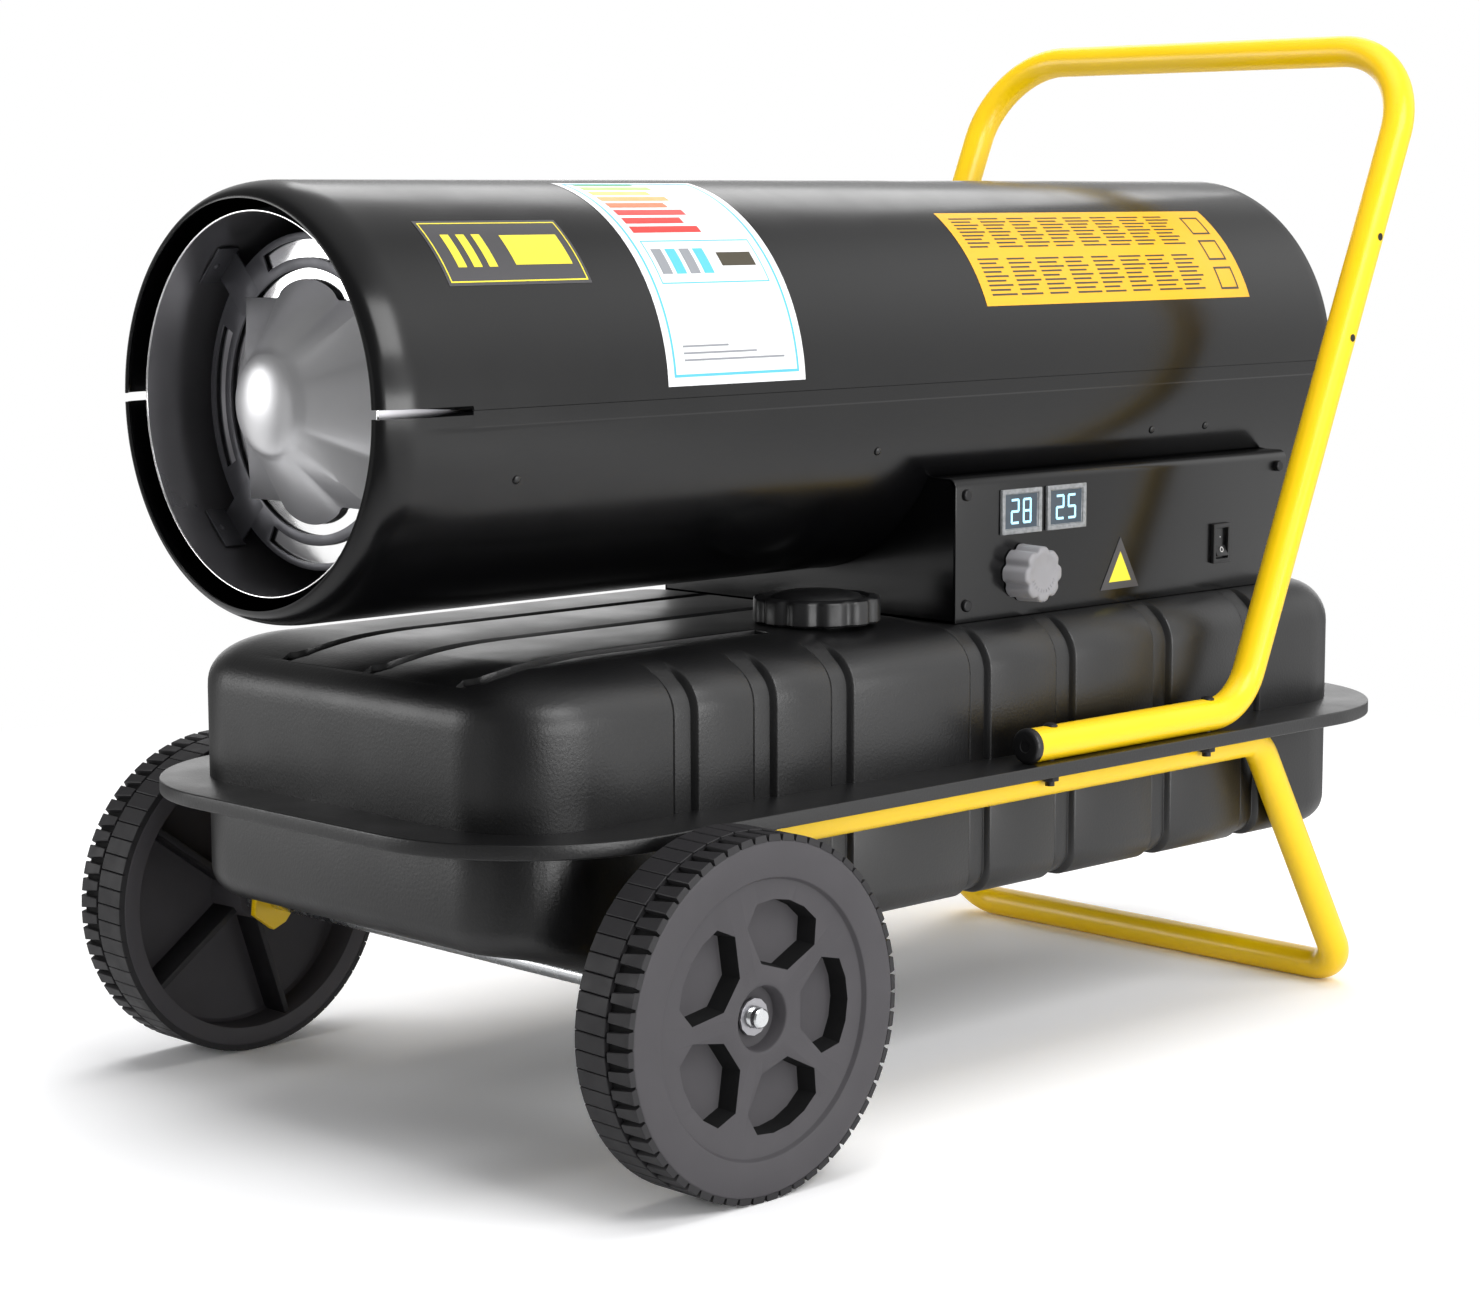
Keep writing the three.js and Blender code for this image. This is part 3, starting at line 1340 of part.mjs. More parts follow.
// The tread, a toothed ring.
function tread(low, high) {
  const { radius, lugs, lugDepth, rimInner } = wheel;
  const root = radius - lugDepth;
  const lug = [
    [0.1, root],
    [0.17, radius],
    [0.83, radius],
    [0.9, root],
  ];
  const points = [];
  for (let i = 0; i < lugs; i++) {
    for (const [share, at] of lug) {
      const angle = (2 * Math.PI * (i + share)) / lugs;
      points.push([at * Math.cos(angle), at * Math.sin(angle)]);
    }
  }
  const shape = polygon(points);
  shape.holes.push(new THREE.Path().absarc(0, 0, rimInner, 0, 2 * Math.PI, true));
  return plate("y", shape, low, high, lugs / 2);
}

// Wheel about its own axis, with y running from the inner face to the outer one.
function wheelSolid() {
  const { radius, width, lugs, rimInner, faceRadius, faceRecess, webThick } = wheel;
  const faceW = width - faceRecess;
  const webW = faceW - webThick;
  const recessFloor = width - wheel.recessDepth;
  const bore = axle.radius + axle.fit;
  const outline = [
    [webW, rimInner + 1],
    [width, rimInner + 1],
    [width, faceRadius],
    [faceW, faceRadius - 1],
    [faceW, wheel.recessRadius],
    [recessFloor, wheel.recessRadius - 1],
    [recessFloor, bore],
    [-wheel.hubReach, bore],
    [-wheel.hubReach, wheel.hubRadius - 1],
    [webW, wheel.hubRadius],
  ];
  let body = joined(turned("y", outline, [0, 0, 0], lugs), tread(0, width));

  for (let i = 0; i < wheel.pockets; i++) {
    const middle = (360 * i) / wheel.pockets + wheel.pocketTurn;
    const corners = [
      [0.3, -20],
      [0.52, -31],
      [0.63, -22],
      [0.66, 0],
      [0.63, 22],
      [0.52, 31],
      [0.3, 20],
    ].map(([share, swing]) => {
      const angle = degrees(middle + swing);
      return [share * radius * Math.cos(angle), share * radius * Math.sin(angle)];
    });
    body = cut(body, plate("y", polygon(corners), faceW - wheel.pocketDepth, faceW + 3));

    const rib = new THREE.BoxGeometry(rimInner + 2 - wheel.hubRadius, webW - 2, 4);
    rib.translate((rimInner + wheel.hubRadius + 1) / 2, (webW + 4) / 2, 0);
    rib.rotateY(-degrees(middle + 180 / wheel.pockets));
    body = joined(body, solid(rib));
  }
  return body;
}

function makeWheels() {
  const body = wheelSolid();
  const innerFace = wheel.track - wheel.width;
  for (const side of sides) {
    const turn = side.y > 0 ? 0 : Math.PI;
    const place = [0, side.y * innerFace, wheel.radius];
    addPiece("wheel_" + side.name, body, greyPlastic, place, [0, 0, turn]);
  }
}

makeShells();
makeLiner();
makeChamber();
makeSpreaderBracket();
makeSpreader();
makeBurner();
makeDrive();
makeFan();
makeGuard();
makeTank();
makeCap();
makeBox();
makePanel();
makeKnob();
makeSwitch();
makeBoxParts();
makeLines();
makeHandle();
makeStand();
makeAxle();
makeWheels();

// The origin is the middle of the footprint, on the floor.
heater.updateMatrixWorld(true);
const bounds = new THREE.Box3().setFromObject(heater);
const middle = bounds.getCenter(new THREE.Vector3());
heater.position.set(-middle.x, -middle.y, -bounds.min.z);

export default heater;
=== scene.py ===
# Forced air heater: finishes and fine meshes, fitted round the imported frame.
# Sizes in the dictionaries are millimetres from the axle and the floor, as in the part's own source.
import json
import math

import bmesh
import bpy
from mathutils import Matrix, Vector


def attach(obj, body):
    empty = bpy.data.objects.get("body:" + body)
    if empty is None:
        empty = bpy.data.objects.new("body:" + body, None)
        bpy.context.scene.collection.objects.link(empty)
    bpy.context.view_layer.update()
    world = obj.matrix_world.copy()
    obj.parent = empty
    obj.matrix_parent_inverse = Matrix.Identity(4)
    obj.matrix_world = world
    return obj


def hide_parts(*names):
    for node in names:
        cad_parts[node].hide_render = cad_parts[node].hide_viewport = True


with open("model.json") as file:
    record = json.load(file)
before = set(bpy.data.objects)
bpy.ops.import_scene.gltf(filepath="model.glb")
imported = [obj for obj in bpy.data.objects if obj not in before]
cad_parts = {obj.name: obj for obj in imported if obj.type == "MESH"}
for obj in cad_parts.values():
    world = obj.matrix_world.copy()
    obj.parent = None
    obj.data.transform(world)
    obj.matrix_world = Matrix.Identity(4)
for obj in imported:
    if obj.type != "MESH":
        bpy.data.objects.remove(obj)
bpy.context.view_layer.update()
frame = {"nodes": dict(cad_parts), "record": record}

joints = {joint["name"]: joint for joint in frame["record"]["behaviour"]["joints"]}
axleX = joints["wheel_left_spin"]["pos_m"][0]
root = "frame"


# camera, light and floor
camera = {
    "place": (-1246.35, -1517.11, 544.83),
    "azimuth": -44.20,
    "pitch": 7.68,
    "roll": -0.15,
    "lens": 81.43,
    "sensor": 36,
    "clip": (0.05, 50),
}
studio = {
    "worldWall": 0.95,  # light walls round the set
    "worldMiddle": (0.42, 0.855),  # height of the stop, and its brightness
    "worldTop": 0.42,
    "worldHigh": 0.72,  # above this height the world is as dark as at its top
    "worldLight": 0.46,
    "floorColour": "#f4f4f5",
    "floorLift": 1.3,  # the floor burns out to white in the picture, but keeps its shadow
    "floorFade": (0.75, 1.5),  # metres from the middle, where it turns fully white
    "floorGlow": (0.45, 1.1),  # metres from the middle, where it starts to mirror the panels
    "floorSize": 12,
    # what shiny surfaces see round the set: a dim room with soft panels, as
    # (direction, cosines where a panel starts and is full, brightness)
    "dim": 0.2,
    "panels": (
        ((-0.7, 0.71, 0.0), 0.92, 0.985, 0.85),
        ((-1.0, 0.0, 0.1), 0.96, 0.995, 0.3),
        ((0.05, -1.0, 0.05), 0.8, 0.97, 0.9),
        ((0.72, -0.62, 0.3), 0.62, 0.97, 0.9),
        ((0.5, -0.15, 0.85), 0.5, 0.95, 0.4),
        ((0.7, 0.7, 0.15), 0.7, 0.97, 0.35),
    ),
    # area lamps: size, watts, place, aim, and whether shiny surfaces see them
    "lamps": {
        "keyBox": ((1.6, 1.2), 34, (-0.1, -2.1, 2.0), (0, 0, 0.3), True),
        "lowBox": ((2.0, 0.5), 22, (-0.1, -2.4, 0.4), (0.1, 0, 0.25), True),
        "sideBox": ((0.9, 0.9), 10, (-1.8, 1.6, 0.7), (-0.2, 0, 0.35), True),
        "rearBox": ((1.6, 0.8), 8, (1.6, 1.4, 1.9), (0.1, 0, 0.4), True),
        "topBox": ((2.4, 2.4), 54, (0.1, 0.1, 2.7), (0.1, 0, 0), False),
        # low behind the heater, shining under the barrel along the tank's top
        "rearStrip": ((3.0, 0.7), 9, (1.55, 1.6, 0.5), (-0.2, 0, 0.28), True),
    },
}


def linear(code):
    channels = [int(code[i : i + 2], 16) / 255 for i in (1, 3, 5)]
    return tuple(c / 12.92 if c <= 0.04045 else ((c + 0.055) / 1.055) ** 2.4 for c in channels) + (1,)


def greyOf(level):
    return (level, level, level, 1)


def placed(name, data):
    obj = bpy.data.objects.new(name, data)
    bpy.context.collection.objects.link(obj)
    return obj


def fromAxle(x, y, z):
    return Vector((x / 1000 + axleX, y / 1000, z / 1000))


def addCamera():
    data = bpy.data.cameras.new("photoCamera")
    data.lens = camera["lens"]
    data.sensor_width = camera["sensor"]
    data.clip_start, data.clip_end = camera["clip"]
    obj = placed("photoCamera", data)
    a, e, r = (math.radians(camera[k]) for k in ("azimuth", "pitch", "roll"))
    back = Vector((math.sin(a) * math.cos(e), -math.cos(a) * math.cos(e), math.sin(e)))
    right = (-back).cross(Vector((0, 0, 1))).normalized()
    up = right.cross(-back)
    rightRolled = right * math.cos(r) + up * math.sin(r)
    upRolled = up * math.cos(r) - right * math.sin(r)
    turn = Matrix((rightRolled, upRolled, back)).transposed().to_4x4()
    obj.matrix_world = Matrix.Translation(fromAxle(*camera["place"])) @ turn
    bpy.context.scene.camera = obj
    bpy.context.scene.view_settings.view_transform = "Standard"


def addNode(tree, kind, settings=None, links=None):
    node = tree.nodes.new("ShaderNode" + kind)
    for key, value in (settings or {}).items():
        if isinstance(key, int) or key in node.inputs:
            node.inputs[key].default_value = value
        else:
            setattr(node, key, value)
    for key, source in (links or {}).items():
        tree.links.new(source, node.inputs[key])
    return node


def addLamp(name, size, energy, place, aim, mirrored):
    data = bpy.data.lights.new(name, "AREA")
    data.shape = "RECTANGLE"
    data.size, data.size_y = size
    data.energy = energy
    obj = placed(name, data)
    obj.location = place
    obj.rotation_mode = "QUATERNION"
    obj.rotation_quaternion = (Vector(aim) - Vector(place)).to_track_quat("-Z", "Y")
    obj.visible_glossy = mirrored


def glowFrom(tree, way):
    # how bright the set is in a direction
    total = None
    for direction, start, full, strength in studio["panels"]:
        facing = addNode(tree, "VectorMath", {"operation": "DOT_PRODUCT", 1: direction}, {0: way})
        ramp = {"interpolation_type": "SMOOTHSTEP", "From Min": start, "From Max": full, "To Max": strength}
        share = addNode(tree, "MapRange", ramp, {"Value": facing.outputs["Value"]})
        if total is None:
            total = addNode(tree, "Math", {1: studio["dim"]}, {0: share.outputs[0]})
        else:
            total = addNode(tree, "Math", links={0: total.outputs[0], 1: share.outputs[0]})
    return total.outputs[0]


def addStudio():
    world = bpy.data.worlds.new("studio")
    bpy.context.scene.world = world
    world.use_nodes = True
    tree = world.node_tree
    tree.nodes.clear()
    where = addNode(tree, "TexCoord")
    parts = addNode(tree, "SeparateXYZ", links={0: where.outputs["Generated"]})
    ramp = addNode(tree, "ValToRGB", links={0: parts.outputs["Z"]})
    stops = ramp.color_ramp
    stops.elements[0].position, stops.elements[0].color = 0.0, greyOf(studio["worldWall"])
    stops.elements[1].position, stops.elements[1].color = 1.0, greyOf(studio["worldTop"])
    height, middle = studio["worldMiddle"]
    stops.elements.new(height).color = greyOf(middle)
    stops.elements.new(studio["worldHigh"]).color = greyOf(studio["worldTop"])
    seen = addNode(tree, "Background", {"Color": (1, 1, 1, 1), "Strength": 1.0})
    strength = {"Strength": studio["worldLight"]}
    lit = addNode(tree, "Background", strength, {"Color": ramp.outputs[0]})
    glow = glowFrom(tree, where.outputs["Generated"])
    shiny = addNode(tree, "Background", {"Strength": 1.0}, {"Color": glow})
    path = addNode(tree, "LightPath")
    mirrored = {0: path.outputs["Is Glossy Ray"], 1: lit.outputs[0], 2: shiny.outputs[0]}
    first = addNode(tree, "MixShader", links=mirrored)
    direct = {0: path.outputs["Is Camera Ray"], 1: first.outputs[0], 2: seen.outputs[0]}
    both = addNode(tree, "MixShader", links=direct)
    addNode(tree, "OutputWorld", links={"Surface": both.outputs[0]})

    for name, settings in studio["lamps"].items():
        addLamp(name, *settings)

    bm = bmesh.new()
    bmesh.ops.create_grid(bm, x_segments=1, y_segments=1, size=studio["floorSize"])
    mesh = bpy.data.meshes.new("floor")
    bm.to_mesh(mesh)
    bm.free()
    floor = placed("floor", mesh)
    mat = bpy.data.materials.new("paleFloor")
    mat.use_nodes = True
    tree = mat.node_tree
    tree.nodes.clear()
    pale = linear(studio["floorColour"])
    bright = [c * studio["floorLift"] for c in pale[:3]] + [1]
    plain = addNode(tree, "BsdfDiffuse", {"Color": pale})
    lifted = addNode(tree, "BsdfDiffuse", {"Color": bright})
    path = addNode(tree, "LightPath")
    where = addNode(tree, "TexCoord")
    away = addNode(tree, "VectorMath", {"operation": "LENGTH"}, {0: where.outputs["Object"]})

    def farther(span):
        limits = {"From Min": span[0], "From Max": span[1]}
        return addNode(tree, "MapRange", limits, {"Value": away.outputs["Value"]}).outputs[0]

    def mixed(share, first, second):
        links = {0: share, 1: first.outputs[0], 2: second.outputs[0]}
        return addNode(tree, "MixShader", links=links)

    white = addNode(tree, "Emission", {"Color": (1, 1, 1, 1), "Strength": 1.0})
    # shiny surfaces see the dim room on the far floor too
    level = addNode(tree, "VectorMath", {"operation": "NORMALIZE"}, {0: where.outputs["Object"]})
    glow = addNode(tree, "Emission", {"Strength": 1.0}, {"Color": glowFrom(tree, level.outputs[0])})
    both = {0: farther(studio["floorGlow"]), 1: path.outputs["Is Glossy Ray"]}
    shiny = addNode(tree, "Math", {"operation": "MULTIPLY"}, both)
    plain = mixed(shiny.outputs[0], plain, glow)
    faded = mixed(farther(studio["floorFade"]), lifted, white)
    seen = mixed(path.outputs["Is Camera Ray"], plain, faded)
    addNode(tree, "OutputMaterial", links={"Surface": seen.outputs[0]})
    mesh.materials.append(mat)


addCamera()
addStudio()
print("camera and studio done")


# finishes
noiseSpan = (0.3, 0.7)  # most of what a noise texture gives lies between these


def mottle(mat, low, high, sizeMm):
    # uneven gloss, or uneven colour where low and high are colours, with patches about sizeMm across
    tree = mat.node_tree
    shader = tree.nodes["Principled BSDF"]
    where = addNode(tree, "TexCoord")
    fine = {"Scale": 1000 / sizeMm, "Detail": 3.0}
    spots = addNode(tree, "TexNoise", fine, {"Vector": where.outputs["Object"]})
    if isinstance(low, str):
        mixed = addNode(tree, "Mix", {"data_type": "RGBA"}, {0: spots.outputs["Fac"]})
        mixed.inputs[6].default_value, mixed.inputs[7].default_value = linear(low), linear(high)
        tree.links.new(mixed.outputs[2], shader.inputs["Base Color"])
        return
    ends = {"From Min": noiseSpan[0], "From Max": noiseSpan[1], "To Min": low, "To Max": high}
    spread = addNode(tree, "MapRange", ends, {"Value": spots.outputs["Fac"]})
    tree.links.new(spread.outputs[0], shader.inputs["Roughness"])


def grain(mat, sizeMm, depthMm):
    # bump with features about sizeMm across and depthMm high
    tree = mat.node_tree
    shader = tree.nodes["Principled BSDF"]
    where = addNode(tree, "TexCoord").outputs["Object"]
    texture = addNode(tree, "TexNoise", {"Scale": 1000 / sizeMm}, {"Vector": where})
    depth = {"Strength": 1.0, "Distance": depthMm / 1000}
    bump = addNode(tree, "Bump", depth, {"Height": texture.outputs["Fac"]})
    tree.links.new(bump.outputs[0], shader.inputs["Normal"])


# for each finish its colour, roughness and metallic, then mottle's and grain's values
recipes = {
    # gloss powder coat on sheet steel: near black, with a faint orange peel
    "glossPowderCoat": ("#070708", 0.2, 0, (0.17, 0.25, 60), (3.0, 0.012), {"Specular IOR Level": 0.42}),
    # satin powder coat on the pressed tank: fine leathery grain that sparkles where light grazes it
    "satinPowderCoat": ("#0d0d0e", 0.38, 0, (0.34, 0.42, 45), (1.8, 0.13), {"Specular IOR Level": 0.6}),
    # yellow powder coat on pipe: thick, smooth and glossy
    "yellowPowderCoat": (
        "#ffd204", 0.34, 0, (0.28, 0.38, 30), (2.5, 0.01), {"Coat Weight": 0.15, "Coat Roughness": 0.14},
    ),
    # injection-moulded polypropylene wheels: dull dark grey with a fine spark-eroded face
    "mouldedWheel": (
        "#434144", 0.6, 0, ("#3f3d40", "#474548", 25), (0.9, 0.03), {"Specular IOR Level": 0.35},
    ),
    "mouldedTread": ("#232224", 0.55, 0, (0.48, 0.62, 12), (1.2, 0.04), {"Specular IOR Level": 0.35}),
    # the same plastic in the pockets' walls and between the lugs, made near black as painted shade where
    # those recesses lie in shadow
    "mouldedPaintedShade": ("#0e0e0f", 0.75, 0, (0.7, 0.85, 10), None, {"Specular IOR Level": 0.2}),
    # moulded black ABS: cap, switch and end caps
    "blackAbs": ("#161617", 0.38, 0, (0.33, 0.44, 10), (0.8, 0.02)),
    # moulded grey ABS knob
    "greyAbs": ("#8d8c8f", 0.48, 0, (0.44, 0.54, 8), (0.7, 0.015)),
    # pressed stainless steel of the flame spreader, dulled a little by heat
    "pressedSteel": ("#dcdcde", 0.36, 0.8, (0.33, 0.39, 30)),
    # polished stainless steel: chamber tube, retention ring and the outlet's hem
    "polishedSteel": ("#f2f2f2", 0.12, 1, (0.08, 0.16, 20)),
    # heat-proof coat inside the outlet, grey and half bright, and the darker one on its bracket
    "heatCoat": ("#a3a2a6", 0.28, 0.9, (0.27, 0.34, 40)),
    "bracketSteel": ("#56565a", 0.4, 0.6, (0.34, 0.46, 15)),
    # bright zinc plate on the axle and its spacers
    "zincPlate": ("#d4d6d8", 0.24, 1, (0.18, 0.32, 5)),
    # black zinc plate on the frame's bolts and nuts and on the panel's screws
    "blackZinc": ("#1b1b1d", 0.36, 0.4, (0.3, 0.44, 6)),
    # drawn copper pipe and the nozzle
    "copperPipe": ("#b8734a", 0.3, 1, (0.22, 0.4, 8)),
    # nitrile rubber seals and hose; the same dark finish is also the painted shade on the handle's drilled
    # holes
    "nitrileRubberAndHoleShade": ("#1a1a1b", 0.8, 0, (0.72, 0.88, 4)),
    # glazed ceramic electrode
    "glazedCeramic": ("#e9e5db", 0.2, 0, (0.15, 0.3, 6)),
    # green lacquered circuit board
    "boardLacquer": ("#1f5a35", 0.35, 0, ("#1b5230", "#24633b", 6)),
    # smoked acrylic window, its clear grey frame, its lit digits and the white paint of the switch's marks
    "smokedAcrylic": ("#37434d", 0.12, 0, ("#323d47", "#3d4a55", 9)),
    "clearFrame": ("#77797b", 0.22, 0, ("#5d5f61", "#a4a6a8", 3)),
    "litDigit": (
        "#b9ecff", 0.4, 0, None, None, {"Emission Strength": 0.55, "Emission Color": linear("#9fe4ff")},
    ),
    "windowPaint": ("#e8e8e8", 0.5, 0, None),
}
# printed vinyl stickers, laminated with a clear film
vinyls = {
    "vinylDark": "#3c3b3e",
    "vinylYellow": "#f3e23a",
    "vinylGold": "#f2b31a",
    "vinylWhite": "#f4f4f6",
    "vinylCyan": "#57bfe0",
    "vinylGreen": "#1f9a4a",
    "vinylLime": "#9cc23a",
    "vinylLemon": "#f0dd3c",
    "vinylOrange": "#f39a32",
    "vinylCoral": "#ee6c33",
    "vinylRed": "#e5352f",
    "vinylInk": "#3a3320",
    "vinylGrey": "#8e9196",
}
film = {"Coat Weight": 0.2, "Coat Roughness": 0.2}
recipes |= {name: (colour, 0.34, 0, (0.3, 0.4, 12), None, film) for name, colour in vinyls.items()}


def newFinish(name, colour, roughness, metallic, uneven, bumps=None, others=None):
    mat = bpy.data.materials.new(name)
    mat.use_nodes = True
    shader = mat.node_tree.nodes["Principled BSDF"]
    values = {"Base Color": linear(colour), "Roughness": roughness, "Metallic": metallic, **(others or {})}
    for key, value in values.items():
        shader.inputs[key].default_value = value
    mat.diffuse_color = linear(colour)
    if uneven:
        mottle(mat, *uneven)
    if bumps:
        grain(mat, *bumps)
    return mat


finishes = {name: newFinish(name, *recipe) for name, recipe in recipes.items()}
print("finishes done:", len(finishes))


# mesh helpers
def directions(axis):
    # the axis itself, and the two directions that a turn about it runs through
    x, y, z = Vector((1, 0, 0)), Vector((0, 1, 0)), Vector((0, 0, 1))
    return {"x": (x, y, z), "y": (y, z, x), "z": (z, x, y)}[axis]


def spunWire(bm, outline, axis, centre, steps, closed=True, start=0.0, sweep=360.0):
    along, side, up = directions(axis)
    a = math.radians(start)
    out = side * math.cos(a) + up * math.sin(a)
    middle = Vector(centre)
    verts = [bm.verts.new(middle + along * u + out * r) for u, r in outline]
    pairs = list(zip(verts, verts[1:] + verts[:1])) if closed else list(zip(verts, verts[1:]))
    edges = [bm.edges.new(pair) for pair in pairs]
    bmesh.ops.spin(
        bm,
        geom=verts + edges,
        cent=middle,
        axis=along,
        dvec=(0, 0, 0),
        angle=math.radians(sweep),
        steps=steps,
        use_merge=abs(sweep) == 360,
        use_duplicate=False,
    )
    bmesh.ops.remove_doubles(bm, verts=bm.verts, dist=0.002)


def closedLoop(bm, places):
    verts = [bm.verts.new(place) for place in places]
    return [bm.edges.new(pair) for pair in zip(verts, verts[1:] + verts[:1])]


def bridged(bm, loops):
    for low, high in zip(loops, loops[1:]):
        bmesh.ops.bridge_loops(bm, edges=low + high)


def capped(bm, *loops):
    return [bmesh.ops.holes_fill(bm, edges=loop, sides=0)["faces"] for loop in loops]


def shifted(bm, verts, way):
    bmesh.ops.translate(bm, vec=way, verts=verts)


def posed(bm, matrix):
    # this call also brings the faces' normals up to date, which bm.transform leaves as they were
    bmesh.ops.transform(bm, matrix=matrix, verts=bm.verts)


def turned(bm, verts, axis, degrees):
    spin = Matrix.Rotation(math.radians(degrees), 3, axis)
    bmesh.ops.rotate(bm, cent=(0, 0, 0), matrix=spin, verts=verts)


def pushedOut(bm, face, offset):
    # a face given depth, and kept as the piece's back
    made = bmesh.ops.extrude_face_region(bm, geom=face, use_keep_orig=True)
    moved = [g for g in made["geom"] if isinstance(g, bmesh.types.BMVert)]
    shifted(bm, moved, offset)


def cutAcross(bm, place, normal):
    # new edges where a plane passes, and nothing taken away
    everything = bm.verts[:] + bm.edges[:] + bm.faces[:]
    bmesh.ops.bisect_plane(bm, geom=everything, dist=1e-4, plane_co=place, plane_no=normal)


def tube(low, high, inner, outer):
    return [(low, inner), (low, outer), (high, outer), (high, inner)]


def arc(centreU, centreR, radiusU, radiusR, first, last, count):
    points = []
    for i in range(count + 1):
        a = math.radians(first + (last - first) * i / count)
        points.append((centreU + radiusU * math.cos(a), centreR + radiusR * math.sin(a)))
    return points


def roundWire(u, r, half):
    # ten points round a wire's section
    return arc(u, r, half, half, 0, 324, 9)


def flatShape(bm, points, toPlace, offset):
    # one face from a drawn outline, pushed out along offset
    face = bm.faces.new([bm.verts.new(toPlace(u, v)) for u, v in points])
    pushedOut(bm, [face], offset)


def addBlock(bm, low, high):
    made = bmesh.ops.create_cube(bm, size=1)
    size = [b - a for a, b in zip(low, high)]
    middle = [(a + b) / 2 for a, b in zip(low, high)]
    bmesh.ops.scale(bm, vec=size, verts=made["verts"])
    shifted(bm, made["verts"], middle)
    return made["verts"]


def roundPlan(lowX, highX, half, radius, count):
    points = []
    for cx, cy, start in (
        (highX - radius, half - radius, 0),
        (lowX + radius, half - radius, 90),
        (lowX + radius, radius - half, 180),
        (highX - radius, radius - half, 270),
    ):
        points += arc(cx, cy, radius, radius, start, start + 90, count)
    return points


def addModifier(obj, kind, **values):
    modifier = obj.modifiers.new(kind.lower(), kind)
    for key, value in values.items():
        setattr(modifier, key, value)
    return modifier


def settle(obj, sharp):
    # the modifiers' result becomes the mesh
    depsgraph = bpy.context.evaluated_depsgraph_get()
    mesh = bpy.data.meshes.new_from_object(obj.evaluated_get(depsgraph))
    obj.modifiers.clear()
    obj.data = mesh
    mesh.shade_smooth()
    mesh.set_sharp_from_angle(angle=math.radians(sharp))


def newPiece(name, bm, mats, sharp=32, weld=0.002, outward=True):
    if weld:
        bmesh.ops.remove_doubles(bm, verts=bm.verts, dist=weld)
    if outward:
        bmesh.ops.recalc_face_normals(bm, faces=bm.faces)
    bmesh.ops.scale(bm, vec=(0.001,) * 3, verts=bm.verts)
    shifted(bm, bm.verts, (axleX, 0, 0))
    mesh = bpy.data.meshes.new(name)
    bm.to_mesh(mesh)
    bm.free()
    for mat in mats:
        mesh.materials.append(finishes[mat])
    mesh.shade_smooth()
    mesh.set_sharp_from_angle(angle=math.radians(sharp))
    return placed(name, mesh)


def seat(obj, body, hides=()):
    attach(obj, body)
    if hides:
        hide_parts(*hides)


def rounded(obj, width, segments=2, angle=35, sharp=32):
    addModifier(
        obj, "BEVEL", width=width / 1000, segments=segments, limit_method="ANGLE",
        angle_limit=math.radians(angle), harden_normals=False,
    )
    settle(obj, sharp)


# barrel
shell = {
    "radius": 124,
    "wall": 1.5,
    "axisZ": 431,
    "frontX": -153,
    "rearX": 685,
    "lip": (26, 10),  # along the barrel, and inwards
    "rearEdge": 1.2,  # rounding of the rear rim
    "slotLength": 62,
    "slotHeight": 5,
    "seam": 0.5,
    "joggle": (9, 0.5),  # height of the lower shell's top strip, and how far it is set in
    "lap": (1.1, 0.1, 4),  # depths of the strip behind the seam, and the degrees it reaches each way
    "steps": 96,
    "screwX": (-56, 232, 496, 553),
    "screwZ": 391,
    "screwHead": 2.6,
}
barrelCentre = (0, 0, shell["axisZ"])


def shellOutline():
    depth, drop = shell["lip"]
    middle = (shell["frontX"] + depth, shell["radius"] - drop)
    outer = arc(*middle, depth, drop, 180, 90, 14)
    inner = arc(*middle, depth - shell["wall"], drop - shell["wall"], 90, 180, 10)
    slotEnd = shell["frontX"] + shell["slotLength"]
    stations = [slotEnd - 0.3, slotEnd + 0.3, 100, 400, shell["rearX"] - 8]
    r, edge = shell["radius"], shell["rearEdge"]
    rear = arc(shell["rearX"] - edge, r - edge, edge, edge, 90, 0, 3)
    outline = outer + [(x, r) for x in stations] + rear
    outline += [(shell["rearX"], r - shell["wall"])]
    outline += [(x, r - shell["wall"]) for x in reversed(stations)] + inner
    return outline


def addShell(upper):
    bm = bmesh.new()
    gap = math.degrees(shell["seam"] / 2 / shell["radius"])
    sign = 1 if upper else -1
    spunWire(
        bm, shellOutline(), "x", barrelCentre, shell["steps"],
        start=sign * gap, sweep=sign * (180 - 2 * gap),
    )
    capped(bm, [e for e in bm.edges if e.is_boundary])
    slotEnd = shell["frontX"] + shell["slotLength"]
    for v in bm.verts:
        if v.co.x < slotEnd and abs(v.co.z - shell["axisZ"]) < 0.5:
            v.co.z = shell["axisZ"] + sign * shell["slotHeight"] / 2
    if not upper:
        height, inset = shell["joggle"]
        for drop in (height, height + 0.8):
            cutAcross(bm, (0, 0, shell["axisZ"] - drop), (0, 0, 1))
        for v in bm.verts:
            if v.co.x > slotEnd and v.co.z > shell["axisZ"] - height - 0.01:
                v.co.y -= math.copysign(inset, v.co.y)
        # the lap behind the upper shell's edge, along both sides
        *depths, reach = shell["lap"]
        low, high = (shell["radius"] - shell["wall"] - inset - depth for depth in depths)
        x0, x1 = slotEnd + 1, shell["rearX"] - 2
        for middle in (0, 180):
            strip = [(x0, low), (x1, low), (x1, high), (x0, high)]
            spunWire(bm, strip, "x", barrelCentre, 4, start=middle - reach, sweep=2 * reach)
        capped(bm, [e for e in bm.edges if e.is_boundary])
    node = "upper_shell" if upper else "lower_shell"
    seat(newPiece(node + "_skin", bm, ["glossPowderCoat"], sharp=30), root, [node])


guard = {"x": 677, "wire": 2.4, "outer": 120.4, "hub": 24, "rings": 4, "spokes": 4, "steps": 96}


